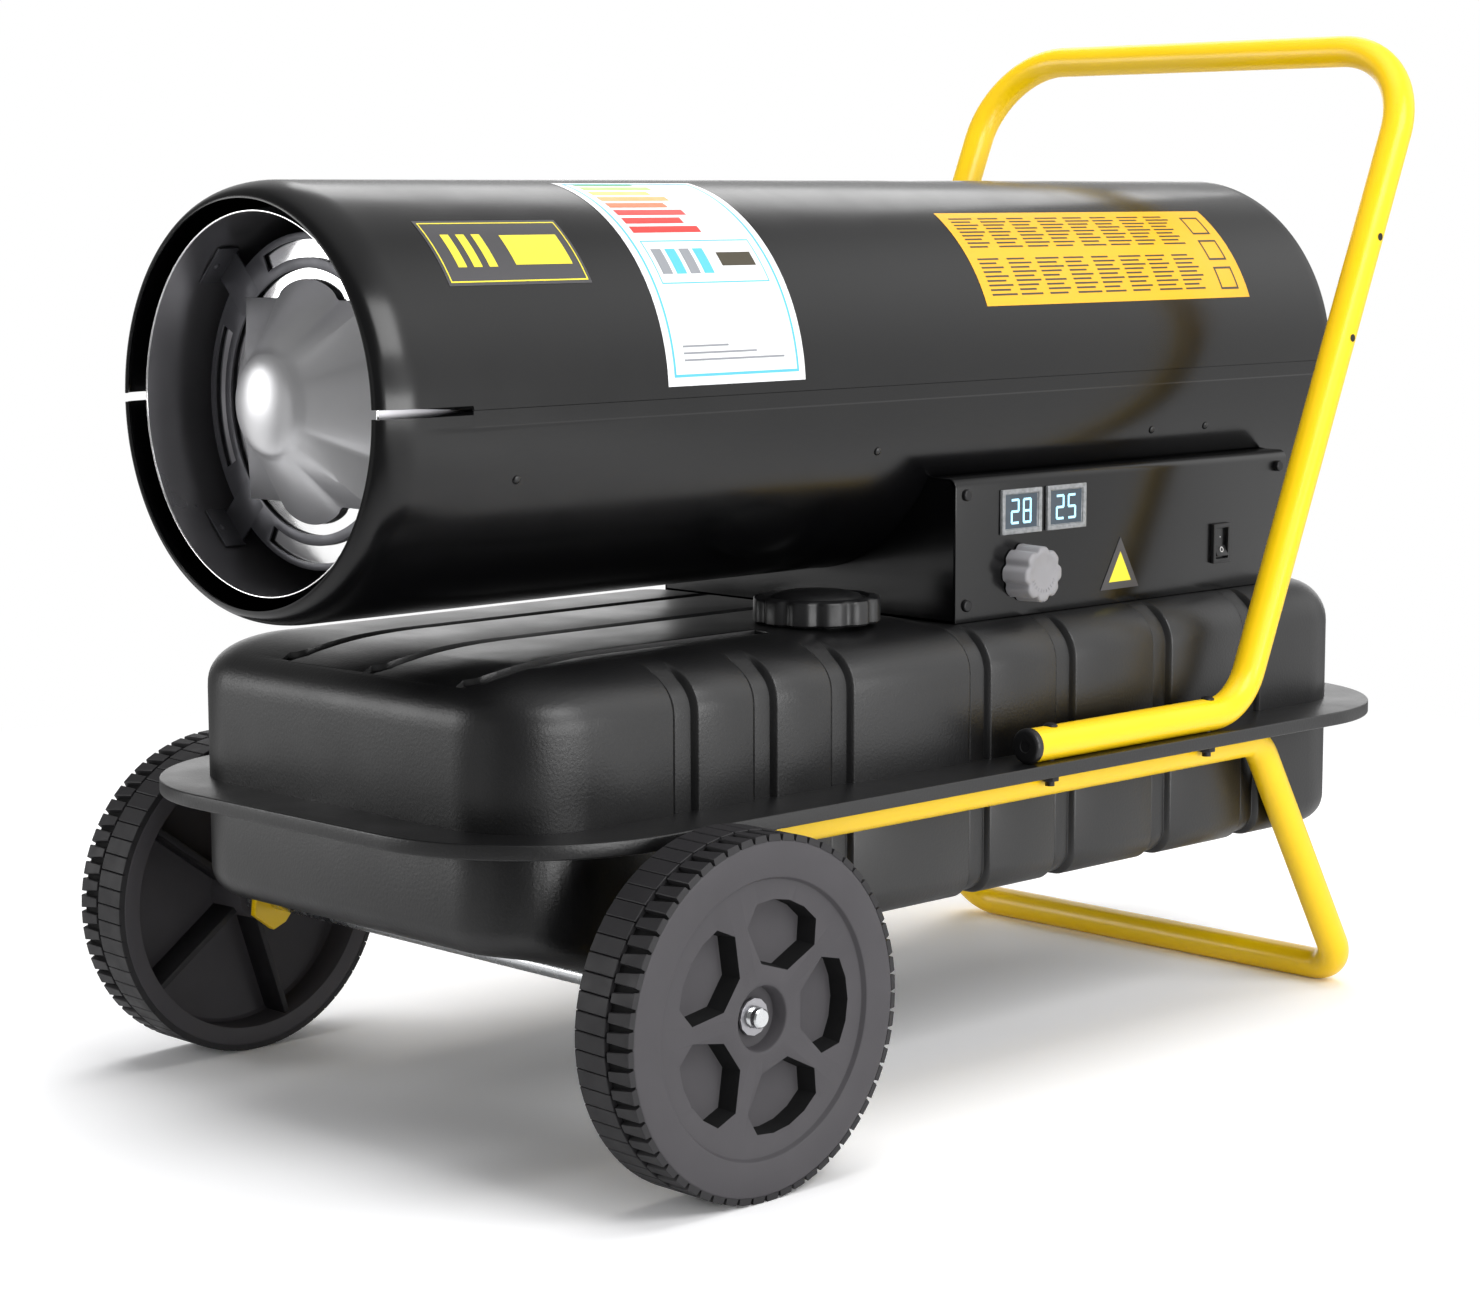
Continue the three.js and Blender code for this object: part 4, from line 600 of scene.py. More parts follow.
def addGuard():
    g = guard
    half = g["wire"] / 2
    bm = bmesh.new()
    for i in range(g["rings"]):
        radius = g["hub"] + (g["outer"] - g["hub"]) * i / (g["rings"] - 1)
        spunWire(bm, roundWire(g["x"] + half, radius - half, half), "x", barrelCentre, g["steps"])
    for i in range(g["spokes"]):
        turn = math.radians(360 * (i + 0.5) / g["spokes"])
        out = Vector((0, math.cos(turn), math.sin(turn)))
        aside = Vector((0, -out.z, out.y))
        foot = Vector((g["x"] + half, 0, shell["axisZ"])) + out * (g["hub"] - half)
        length = g["outer"] - g["hub"]
        wire = roundWire(0, 0, half)
        flatShape(bm, wire, lambda u, v: foot + Vector((u, 0, 0)) + aside * v, out * length)
    obj = newPiece("guard_wires", bm, ["satinPowderCoat"], sharp=50)
    seat(obj, root, ["rear_guard"])


def onBarrel(x, angle, lift=0.0):
    # angle in degrees up from the seam on the control side
    a = math.radians(angle)
    r = shell["radius"] + lift
    return Vector((x, -r * math.cos(a), shell["axisZ"] + r * math.sin(a)))


def addBarrelScrews():
    bm = bmesh.new()
    angle = math.degrees(math.asin((shell["screwZ"] - shell["axisZ"]) / shell["radius"]))
    for x in shell["screwX"]:
        for side in (1, -1):
            made = bmesh.ops.create_uvsphere(bm, u_segments=16, v_segments=8, radius=shell["screwHead"])
            verts = made["verts"]
            bmesh.ops.scale(bm, vec=(1, 0.45, 1), verts=verts)
            turned(bm, verts, "X", -angle)
            shifted(bm, verts, onBarrel(x, angle, 0.2))
            bmesh.ops.scale(bm, vec=(1, side, 1), verts=verts)
    seat(newPiece("barrel_screws", bm, ["blackAbs"], sharp=60), root)


addShell(True)
addShell(False)
addGuard()
addBarrelScrews()
print("barrel done")


# outlet: liner, chamber mouth, bracket and flame spreader
outlet = {
    "frontX": -143.4,
    "frontRadius": 106.5,
    "flare": (30, 2.6),  # the front cone's length and rise
    "rearX": -20,
    "rearRadius": 110,
    "wall": 1.2,
    "hem": 0.7,
    "flange": 120.3,
    "steps": 128,
}
chamber = {"frontX": -106, "rearX": 300, "radius": 95, "wall": 1.2, "throat": 44.8, "ringInner": 58}
bracket = {
    "x": -106.2,
    "thick": 1.2,
    "inner": 75,
    "outer": 95,
    "slot": (81, 91, 27),  # radii, and half its sweep in degrees
    "armHalf": 11,
    "tab": 14,
    "screwHead": 2.2,
}
spreader = {
    "baseX": -107.8,
    "depth": 37.5,
    "nose": 30,
    "domeDepth": 15,
    "domeEnd": 9.9,
    "flat": 57.5,
    "lobe": 69,
    "halfLobe": 25,
    "lobePower": 0.6,  # under 1 the lobes are fuller than a cosine
    "noseSweep": 80,  # degrees of arc over which the nose's rings spread
    "smoothDepth": 18,
    "steps": 176,
    "wall": 1.2,
}


def addLiner():
    bm = bmesh.new()
    o = outlet
    x, r, wall = o["frontX"], o["frontRadius"], o["wall"]
    run, rise = o["flare"]
    outline = [
        (x, r),
        (x + run, r + rise),
        (o["rearX"], o["rearRadius"]),
        (o["rearX"], o["flange"]),
        (o["rearX"] - wall, o["flange"]),
        (o["rearX"] - wall, o["rearRadius"] + wall),
        (x + run, r + rise + wall),
        (x, r + wall),
    ]
    spunWire(bm, outline, "x", barrelCentre, o["steps"])
    seat(newPiece("outlet_liner", bm, ["heatCoat"]), root, ["outlet_funnel"])

    bm = bmesh.new()
    spunWire(bm, arc(x, r + wall / 2, o["hem"], o["hem"], 0, 330, 11), "x", barrelCentre, o["steps"])
    seat(newPiece("outlet_hem", bm, ["polishedSteel"], sharp=60), root)


def addChamber():
    bm = bmesh.new()
    c = chamber
    inner = c["radius"] - c["wall"]
    outline = [
        (c["frontX"], inner),
        (c["frontX"], c["radius"]),
        (c["rearX"], c["radius"]),
        (c["rearX"], c["throat"]),
        (c["rearX"] - c["wall"], c["throat"]),
        (c["rearX"] - c["wall"], inner),
    ]
    spunWire(bm, outline, "x", barrelCentre, outlet["steps"])
    # the bright retention ring behind the spreader
    ringX = c["frontX"] + 1
    spunWire(bm, tube(ringX, ringX + 1, c["ringInner"], inner), "x", barrelCentre, outlet["steps"])
    seat(newPiece("chamber_tube", bm, ["polishedSteel"]), root, ["combustion_chamber"])


def addBracket():
    bm = bmesh.new()
    b = bracket
    frontX = b["x"] - b["thick"]
    loops = [arc(0, 0, b[rim], b[rim], 0, 360, outlet["steps"])[:-1] for rim in ("outer", "inner")]
    low, high, half = b["slot"]
    for turn in (0, 90, 180, 270):
        far = arc(0, 0, high, high, turn - half, turn + half, 18)
        loops.append(far + arc(0, 0, low, low, turn + half, turn - half, 18))
    edges = []
    for loop in loops:
        edges += closedLoop(bm, [(frontX, u, shell["axisZ"] + v) for u, v in loop])
    bmesh.ops.triangle_fill(bm, edges=edges, use_beauty=True)
    pushedOut(bm, bm.faces[:], (b["thick"], 0, 0))
    run, rise = outlet["flare"]
    linerHere = outlet["frontRadius"] + rise * (b["x"] - b["tab"] - outlet["frontX"]) / run
    top = linerHere - outlet["wall"]
    for turn in (45, 135, 225, 315):
        half = b["armHalf"]
        verts = addBlock(bm, (frontX - 0.06, b["inner"] + 1, -half), (b["x"] + 0.06, top, half))
        verts += addBlock(bm, (b["x"] - b["tab"], top - b["thick"], -half - 3), (b["x"], top, half + 3))
        head = bmesh.ops.create_uvsphere(bm, u_segments=12, v_segments=6, radius=b["screwHead"])["verts"]
        bmesh.ops.scale(bm, vec=(1, 0.5, 1), verts=head)
        shifted(bm, head, (b["x"] - b["tab"] + 5, top - b["thick"], 0))
        verts += head
        turned(bm, verts, "X", turn)
        shifted(bm, verts, barrelCentre)
    obj = newPiece("spreader_arms", bm, ["bracketSteel"])
    rounded(obj, 0.35)
    seat(obj, root, ["spreader_bracket"])


def starRadius(angle, share):
    # square with its corners at 45 degrees, and a round lobe on each side
    folded = abs((angle + 45) % 90 - 45)
    flat = spreader["flat"] / math.cos(math.radians(folded))
    bulge = math.cos(math.radians(90 * min(folded / spreader["halfLobe"], 1)))
    lobes = (spreader["lobe"] - spreader["flat"]) * max(bulge, 0) ** spreader["lobePower"]
    return spreader["nose"] + (flat + lobes - spreader["nose"]) * share


def addSpreader():
    bm = bmesh.new()
    s = spreader
    front = s["baseX"] - s["depth"]
    # the outline runs over 100 steps of a plain disc: the dome on the inner half, the star on the outer
    outline = []
    for skin in (0, s["wall"]):
        dome = [(1 - math.cos(math.radians(a)), a / 70 * 0.5) for a in range(0, 71, 7)]
        rows = [(front + skin + s["domeDepth"] * rise, share) for rise, share in dome]
        slope = s["depth"] - s["domeEnd"]
        rows += [(front + skin + s["domeEnd"] + slope * i / 14, 0.5 + 0.5 * i / 14) for i in range(1, 15)]
        rows = [(min(x, s["baseX"]), 100 * share + 0.001 - skin * 0.5) for x, share in rows]
        outline += rows if skin == 0 else rows[::-1]
    outline = [(x, max(r, 0)) for x, r in outline]
    spunWire(bm, outline, "x", barrelCentre, s["steps"], closed=False)
    noseSweep = math.radians(s["noseSweep"])
    for v in bm.verts:
        y, z = v.co.y, v.co.z - shell["axisZ"]
        reach = math.hypot(y, z)
        if reach < 0.01:
            continue
        share = min(reach / 50, 2.0)
        if share <= 1:
            radius = s["nose"] * math.sin(share * noseSweep) / math.sin(noseSweep)
        else:
            radius = starRadius(math.degrees(math.atan2(z, y)), share - 1)
        v.co.y, v.co.z = y / reach * radius, shell["axisZ"] + z / reach * radius
    nose = [v for v in bm.verts if v.co.x < front + s["smoothDepth"]]
    bmesh.ops.smooth_vert(bm, verts=nose, factor=0.5, use_axis_x=True, use_axis_y=True, use_axis_z=True)
    obj = newPiece("flame_spreader_star", bm, ["pressedSteel"], sharp=38)
    seat(obj, root, ["flame_spreader"])


addLiner()
addChamber()
addBracket()
addSpreader()
print("outlet done")


# tank
tank = {
    "half": 160,
    "x": (-95.5, 673),
    "corner": 55,
    "topZ": 281,
    "bottomZ": 113,
    "topEdge": 28,
    "bottomEdge": 18,
    "jointZ": 197.4,
    "crownZ": 287,
    "crownIn": 72,  # from the wall to where the crown is level
    "crownX": (252, 284),  # where it dies away in front of the control box
    "crownCuts": (252, 4, 9),  # first x, step and count of the cuts that let it bend there
    "crownLevels": (31, 35, 40, 47, 58, 72),
    "bandX": (31, 94, 158, 280, 361, 458, 553),
    "bandHalf": 10.5,
    "bandSlope": 3.4,
    "crease": 1.13,  # half width and depth of the sharp line at the foot of a band's edge
    "bandDepth": 3.0,
    "bandFade": (10, 30),  # from the wall, where a band runs out over the shoulder
    "frontRise": (-80, -15, 14),  # the bottom lifts to the front wall, from x to x, by so much
    "riseCuts": (-80, 6.5, 11),
}
ledge = {
    "half": 200,
    "x": (-132, 708),
    "corner": 113,
    "topZ": 199.5,
    "thick": 4.6,
    "lip": 8.8,
    "lipWall": 2.2,
    "edge": 1.1,
}
grooves = {
    "half": 6,
    "taper": (3.2, 5.0, 5.8),  # half widths at the front end
    "depth": 3.5,
    "strip": (257, 40),  # foot and height of the strip that is cut out
    "y": (60, -17.5, -100),
    "endX": (262, 262, 150),
    # the swing of the front end, as x and the distance aside
    "start": (
        (-79, 6), (-78, -1), (-73, -7), (-63, -10.5), (-51, -11), (-38, -9), (-22, -5), (-8, -1.8), (8, 0),
    ),
}


def ramped(value, low, high):
    share = min(max((value - low) / (high - low), 0), 1)
    return share * share * (3 - 2 * share)


def fromWall(x, y):
    # how far inside the tank's plan a point lies
    t = tank
    halfX = (t["x"][1] - t["x"][0]) / 2
    dx = abs(x - sum(t["x"]) / 2) - halfX + t["corner"]
    dy = abs(y) - t["half"] + t["corner"]
    return t["corner"] - math.hypot(max(dx, 0), max(dy, 0)) - min(max(dx, dy), 0)


def crownRise(x, inset):
    # a full curve from wall to level top, above the plain rounding and flat that the rear part has
    t = tank
    foot = t["topZ"] - t["topEdge"]
    plain = foot + math.sqrt(max(t["topEdge"] ** 2 - max(t["topEdge"] - inset, 0) ** 2, 0))
    share = max(t["crownIn"] - inset, 0) / t["crownIn"]
    full = foot + (t["crownZ"] - foot) * max(1 - share**2.5, 0) ** 0.4
    return (full - plain) * (1 - ramped(x, *t["crownX"]))


def addPan(upper, sunk=0.0):
    bm = bmesh.new()
    t = tank
    faceZ = t["topZ"] if upper else t["bottomZ"]
    edge = t["topEdge"] if upper else t["bottomEdge"]
    out = 1 if upper else -1
    levels = [(0, t["jointZ"])]
    levels += [(edge - u, faceZ - out * (edge - v)) for u, v in arc(0, 0, edge, edge, 0, 90, 12)]
    if upper:
        levels += [(inset, faceZ) for inset in t["crownLevels"]]
    loops = []
    for inset, z in levels:
        corner = max(t["corner"] - inset, 3)
        plan = roundPlan(t["x"][0] + inset, t["x"][1] - inset, t["half"] - inset, corner, 12)
        loops.append(closedLoop(bm, [(x, y, z) for x, y in plan]))
    bridged(bm, loops)
    capped(bm, loops[0], loops[-1])
    bmesh.ops.recalc_face_normals(bm, faces=bm.faces)

    start, step, count = t["crownCuts"] if upper else t["riseCuts"]
    cuts = [start + step * i for i in range(count)]
    for x in t["bandX"]:
        for side in (-1, 1):
            cuts += [x + side * (t["bandHalf"] - t["bandSlope"] * i / 6) for i in range(9)]
    for x in sorted(cuts):
        cutAcross(bm, (x, 0, 0), (1, 0, 0))
    for v in bm.verts:
        x, y, z = v.co
        inset = fromWall(x, y)
        if abs(z - t["jointZ"]) < 0.1 and inset > 1:
            continue
        nearest = min(abs(x - middle) for middle in t["bandX"])
        inBand = ramped(t["bandHalf"] - nearest, 0, t["bandSlope"])
        if inBand:
            angle = math.acos(min(max((edge - inset) / edge, 0), 1))
            crease = max(t["crease"] - abs(t["bandHalf"] - t["bandSlope"] - nearest), 0)
            depth = (t["bandDepth"] * inBand + crease) * (1 - ramped(inset, *t["bandFade"]))
            v.co -= Vector((0, math.copysign(math.cos(angle), y), out * math.sin(angle))) * depth
        if not upper and z < t["jointZ"] - 0.1:
            v.co.z += t["frontRise"][2] * (1 - ramped(x, *t["frontRise"][:2]))
        if upper and z > t["topZ"] - edge - 0.01:
            v.co.z += crownRise(x, inset)
        v.co.z -= sunk
    return bm


def groovePlan(y, endX):
    # a strip of even width along the line, drawn in at its front end
    line = [Vector((x, y + swing)) for x, swing in grooves["start"]] + [Vector((endX, y))]
    sides = ([], [])
    for i, at in enumerate(line):
        way = (line[min(i + 1, len(line) - 1)] - line[max(i - 1, 0)]).normalized()
        half = grooves["taper"][i] if i < len(grooves["taper"]) else grooves["half"]
        across = Vector((-way.y, way.x)) * half
        sides[0].append(at + across)
        sides[1].append(at - across)
    return [tuple(p) for p in sides[0] + sides[1][::-1]]


def pressGrooves(pan):
    # strips down to a copy of the form that lies a groove's depth lower
    bm = bmesh.new()
    for y, endX in zip(grooves["y"], grooves["endX"]):
        low, height = grooves["strip"]
        flatShape(bm, groovePlan(y, endX), lambda u, v: (u, v, low), (0, 0, height))
    strips = newPiece("grooveStrips", bm, [])
    lower = newPiece("grooveFloor", addPan(True, grooves["depth"]), [])
    addModifier(strips, "BOOLEAN", object=lower, operation="DIFFERENCE", solver="EXACT")
    settle(strips, 40)
    addModifier(pan, "BOOLEAN", object=strips, operation="DIFFERENCE", solver="EXACT")
    settle(pan, 40)
    for helper in (strips, lower):
        bpy.data.objects.remove(helper)


def addTank():
    obj = newPiece("tank_top_pressing", addPan(True), ["satinPowderCoat"])
    pressGrooves(obj)
    rounded(obj, 0.8, 3, 28, 40)
    seat(obj, root, ["tank_upper_half"])

    obj = newPiece("tank_bottom_pressing", addPan(False), ["satinPowderCoat"])
    rounded(obj, 0.7, 2, 30, 40)
    seat(obj, root, ["tank_lower_half"])

    # the two flanges lie on each other, and the lower one turns down at its rim
    bm = bmesh.new()
    f = ledge
    plan = roundPlan(*f["x"], f["half"], f["corner"], 24)
    inset = f["lipWall"]
    shrunk = roundPlan(f["x"][0] + inset, f["x"][1] - inset, f["half"] - inset, f["corner"] - inset, 24)
    levels = ((plan, f["lip"]), (plan, 0), (shrunk, f["thick"]), (shrunk, f["lip"]))
    loops = [closedLoop(bm, [(x, y, f["topZ"] - drop) for x, y in points]) for points, drop in levels]
    for low, high in ((0, 1), (2, 3), (3, 0)):
        bmesh.ops.bridge_loops(bm, edges=loops[low] + loops[high])
    capped(bm, loops[1], loops[2])
    obj = newPiece("tank_flange", bm, ["satinPowderCoat"])
    rounded(obj, f["edge"], 3, 40)
    seat(obj, root)


addTank()
print("tank done")


# filler cap
cap = {
    "centre": (205, -92),
    "skirtZ": 287.5,
    "height": 15.5,
    "radius": 39.5,
    "flutes": 12,
    "fluteDepth": 2.6,
    "bore": 25.5,
    "crown": 3,
    "neckRadius": 24,
    "neckZ": (280, 296),
    "thread": (7.5, 3, 3),  # its foot above the neck's, its turns and their pitch
}


def flutedRing(bm, radius, depth, count, z, steps):
    places = []
    for i in range(steps):
        a = 2 * math.pi * i / steps
        wave = (1 - math.cos(a * count)) / 2
        r = radius - depth * wave**3
        places.append((r * math.cos(a), r * math.sin(a), z))
    return closedLoop(bm, places)


def addCap():
    bm = bmesh.new()
    c = cap
    steps = c["flutes"] * 16
    top = c["height"]
    rows = [
        (c["bore"], 0, 0),
        (c["radius"] - 1.2, 1, 0),
        (c["radius"], 1, 1.2),
        (c["radius"], 1, top - 2.4),
        (c["radius"] - 0.7, 1, top - 0.8),
        (c["radius"] - 2.4, 0.9, top),
        (c["radius"] - 7, 0, top + 0.4),
        (c["radius"] - 8.5, 0, top - 1.2),
        (c["radius"] - 11, 0, top - 1.4),
        (c["radius"] - 13, 0, top + 0.8),
        (c["radius"] - 20, 0, top + c["crown"] - 0.4),
        (6, 0, top + c["crown"]),
    ]
    loops = [flutedRing(bm, r, share * c["fluteDepth"], c["flutes"], z, steps) for r, share, z in rows]
    bridged(bm, loops)
    capped(bm, loops[-1])
    inside = [flutedRing(bm, c["bore"], 0, 1, z, steps) for z in (0, top - 3)]
    bridged(bm, inside)
    capped(bm, inside[1])
    shifted(bm, bm.verts, (*c["centre"], c["skirtZ"]))
    obj = newPiece("fuel_cap_moulding", bm, ["blackAbs"], sharp=40)
    seat(obj, "cap_turner", ["fuel_cap"])

    bm = bmesh.new()
    low, high = c["neckZ"]
    r = c["neckRadius"]
    spunWire(bm, tube(low, high, r - 1.5, r), "z", (*c["centre"], 0), 64)
    lift, turns, pitch = c["thread"]
    for i in range(turns):
        z = low + lift + i * pitch
        spunWire(bm, [(z, r - 0.1), (z + 0.8, r + 0.7), (z + 1.6, r - 0.1)], "z", (*c["centre"], 0), 64)
    seat(newPiece("filler_neck", bm, ["satinPowderCoat"]), root)


addCap()
print("filler cap done")


# control box
box = {
    "x": (287, 625),
    "half": 132,
    "floorZ": 281.3,
    "topZ": 371.5,
    "sheet": 1.5,
    "bend": 6,
    "ledge": 109.6,
    "saddleGap": 0.4,
    "panelGap": 1.8,  # from the outer face to the tray behind the panel
    "trayGap": 0.5,
    "screwX": (296.5, 615.5),
    "screwZ": (291.8, 361),
}


def wrapOutline():
    b = box
    half, top, bend, sheet = b["half"], b["topZ"], b["bend"], b["sheet"]
    outline = [(half, b["floorZ"])] + arc(half - bend, top - bend, bend, bend, 0, 90, 8)
    outline += [(b["ledge"], top), (b["ledge"], top - sheet)]
    outline += arc(half - bend, top - bend, bend - sheet, bend - sheet, 90, 0, 8)
    return outline + [(half - sheet, b["floorZ"])]


def sweepX(bm, outline, x0, x1):
    flatShape(bm, outline, lambda u, v: (x0, u, v), (x1 - x0, 0, 0))


def addBox():
    b = box
    bm = bmesh.new()
    sweepX(bm, [(-u, v) for u, v in wrapOutline()], *b["x"])
    obj = newPiece("control_panel_sheet", bm, ["glossPowderCoat"])
    rounded(obj, 0.5, 2, 50)
    seat(obj, root, ["front_panel"])

    bm = bmesh.new()
    sweepX(bm, wrapOutline(), *b["x"])
    # end walls with a saddle that follows the barrel
    saddle = shell["radius"] + b["saddleGap"]
    start = math.degrees(math.acos(b["ledge"] / saddle))
    near, far = b["half"] - b["panelGap"], b["half"] - b["trayGap"]
    inset = b["half"] - b["bend"]
    outline = [(-inset, b["topZ"] - b["panelGap"]), (-near, b["topZ"] - b["bend"]), (-near, b["floorZ"])]
    outline += [(far, b["floorZ"]), (far, b["topZ"] - b["bend"]), (inset, b["topZ"] - b["trayGap"])]
    outline += arc(0, shell["axisZ"], saddle, saddle, -start, start - 180, 32)
    front, rear = b["x"]
    for x0, x1 in ((front, front + b["sheet"]), (rear - b["sheet"], rear)):
        sweepX(bm, outline, x0, x1)
    addBlock(bm, (front, -near, b["floorZ"]), (rear, far, b["floorZ"] + b["sheet"]))
    seat(newPiece("control_box_tray", bm, ["glossPowderCoat"]), root, ["control_box"])


def addPanelScrews():
    b = box
    number = 0
    for x in b["screwX"]:
        for z in b["screwZ"]:
            number += 1
            bm = bmesh.new()
            face = -b["half"]
            outline = [(face - 2.4, 0), (face - 2.4, 1.2)] + arc(face - 1.2, 2.4, 1.3, 1.3, 180, 90, 5)
            outline += [(face - 0.05, 3.7), (face - 0.05, 0)]
            spunWire(bm, outline, "y", (x, 0, z), 28, closed=False)
            obj = newPiece("panel_screw_head_%d" % number, bm, ["blackZinc"])
            seat(obj, root, ["panel_screw_%d" % number])


digitSegments = {"2": "abged", "8": "abcdefg", "5": "afgcd"}
display = {
    "x": (347, 390.5),
    "z": 348,
    "size": (38, 28.5),
    "proud": 2.6,
    "frame": 3.2,
    "digit": (6.6, 14.5),
    "stroke": 1.5,
    "pitch": 11.5,
    "readings": ("28", "25"),
    "lit": (1.05, 1.35),  # how far in front of the panel the digits start and end
}


def segmentBar(letter, width, height, stroke):
    w, h, s = width / 2, height / 2, stroke / 2
    spots = {
        "a": ((-w, h - s), (w, h + s)),
        "d": ((-w, -h - s), (w, -h + s)),
        "g": ((-w, -s), (w, s)),
        "b": ((w - s, 0), (w + s, h)),
        "c": ((w - s, -h), (w + s, 0)),
        "f": ((-w - s, 0), (-w + s, h)),
        "e": ((-w - s, -h), (-w + s, 0)),
    }
    return spots[letter]


def squareLoop(bm, middle, halfX, halfZ):
    x, y, z = middle
    corners = ((-1, -1), (1, -1), (1, 1), (-1, 1))
    return closedLoop(bm, [(x + sx * halfX, y, z + sz * halfZ) for sx, sz in corners])


def addDisplays():
    d = display
    face = -box["half"]
    inner, outer = d["lit"]
    for x, reading, node in zip(d["x"], d["readings"], ("display_left", "display_right")):
        bm = bmesh.new()
        w, h = d["size"][0] / 2, d["size"][1] / 2
        rings = []
        rows = [(0, 0), (0, d["proud"]), (d["frame"] * 0.9, d["proud"]), (d["frame"], 1.0)]
        for inset, out in rows:
            rings.append(squareLoop(bm, (x, face - out, d["z"]), w - inset, h - inset))
        bridged(bm, rings)
        for f in capped(bm, rings[0], rings[-1])[1]:
            f.material_index = 1
        obj = newPiece(node + "_frame", bm, ["clearFrame", "smokedAcrylic"])
        rounded(obj, 0.6, 3, 40)
        seat(obj, root, [node])

        bm = bmesh.new()
        for place, figure in zip((-0.5, 0.5), reading):
            for letter in digitSegments[figure]:
                (u0, v0), (u1, v1) = segmentBar(letter, *d["digit"], d["stroke"])
                cx = x + place * d["pitch"]
                low, high = (cx + u0, face - outer, d["z"] + v0), (cx + u1, face - inner, d["z"] + v1)
                addBlock(bm, low, high)
        seat(newPiece(node + "_digits", bm, ["litDigit"], weld=0), root)


sign = {"apex": (446.6, 324.3), "base": (426.9, 465.8, 290.5), "proud": 0.5, "film": 0.15, "shrink": 0.42}


def addSign():
    s = sign
    face = -box["half"]
    apex, (x0, x1, z0) = Vector(s["apex"]), s["base"]
    corners = [Vector((x0, z0)), Vector((x1, z0)), apex]
    middle = sum(corners, Vector((0, 0))) / 3
    for name, mat, shrink, low, high in (
        ("plain_triangle_border", "vinylDark", 0.0, 0.0, s["proud"]),
        ("plain_triangle", "vinylYellow", s["shrink"], s["proud"], s["proud"] + s["film"]),
    ):
        bm = bmesh.new()
        points = [p.lerp(middle, shrink) for p in corners]
        flatShape(bm, points, lambda u, v: (u, face - low, v), (0, low - high, 0))
        obj = newPiece(name, bm, [mat])
        rounded(obj, 0.08, 1)
        seat(obj, root)


knob = {
    "centre": (348, 309),
    "radius": 18,
    "height": 19.5,
    "flutes": 8,
    "depth": 2.2,
    "ticks": 11,
    "tick": (9.4, 11.4, 0.25),  # its two ends from the middle, and half its width
    "dial": (200, 140),  # degrees to its first tick and from first to last
}


def addKnob():
    k = knob
    bm = bmesh.new()
    steps = k["flutes"] * 20
    r, top = k["radius"], k["height"]
    rows = [
        (r + 0.2, 1, 0.5),
        (r, 1, 1.5),
        (r - 0.4, 1, top - 1.6),
        (r - 1.0, 1, top - 0.5),
        (r - 2.2, 0.9, top),
        (r - 5.6, 0.1, top),
        (r - 6.2, 0, top - 0.3),
        (4, 0, top - 0.3),
    ]
    loops = [flutedRing(bm, r, share * k["depth"], k["flutes"], z, steps) for r, share, z in rows]
    capped(bm, loops[0])
    bridged(bm, loops)
    capped(bm, loops[-1])
    # raised ticks round the lower half of the dial
    first, sweep = k["dial"]
    near, far, half = k["tick"]
    for i in range(k["ticks"]):
        verts = addBlock(bm, (near, -half, top - 0.4), (far, half, top - 0.05))
        turned(bm, verts, "Z", first + sweep * i / (k["ticks"] - 1))
    x, z = k["centre"]
    place = Matrix.Translation((x, -box["half"] - 0.6, z)) @ Matrix.Rotation(math.radians(90), 4, "X")
    posed(bm, place)
    seat(newPiece("knob_grip", bm, ["greyAbs"], sharp=40), "knob_body", ["control_knob"])


rocker = {
    "centre": (552.5, 312.5),
    "size": (12, 20),
    "frame": 3,
    "pivotY": -129,
    "tilt": 10,
    # the painted marks, measured from the pivot
    "markY": -3.7,
    "bar": (0.35, 3.2, 6.6),  # half width, foot and top
    "ring": (1.3, 1.9, -5.0),  # its two radii and its middle's height
}


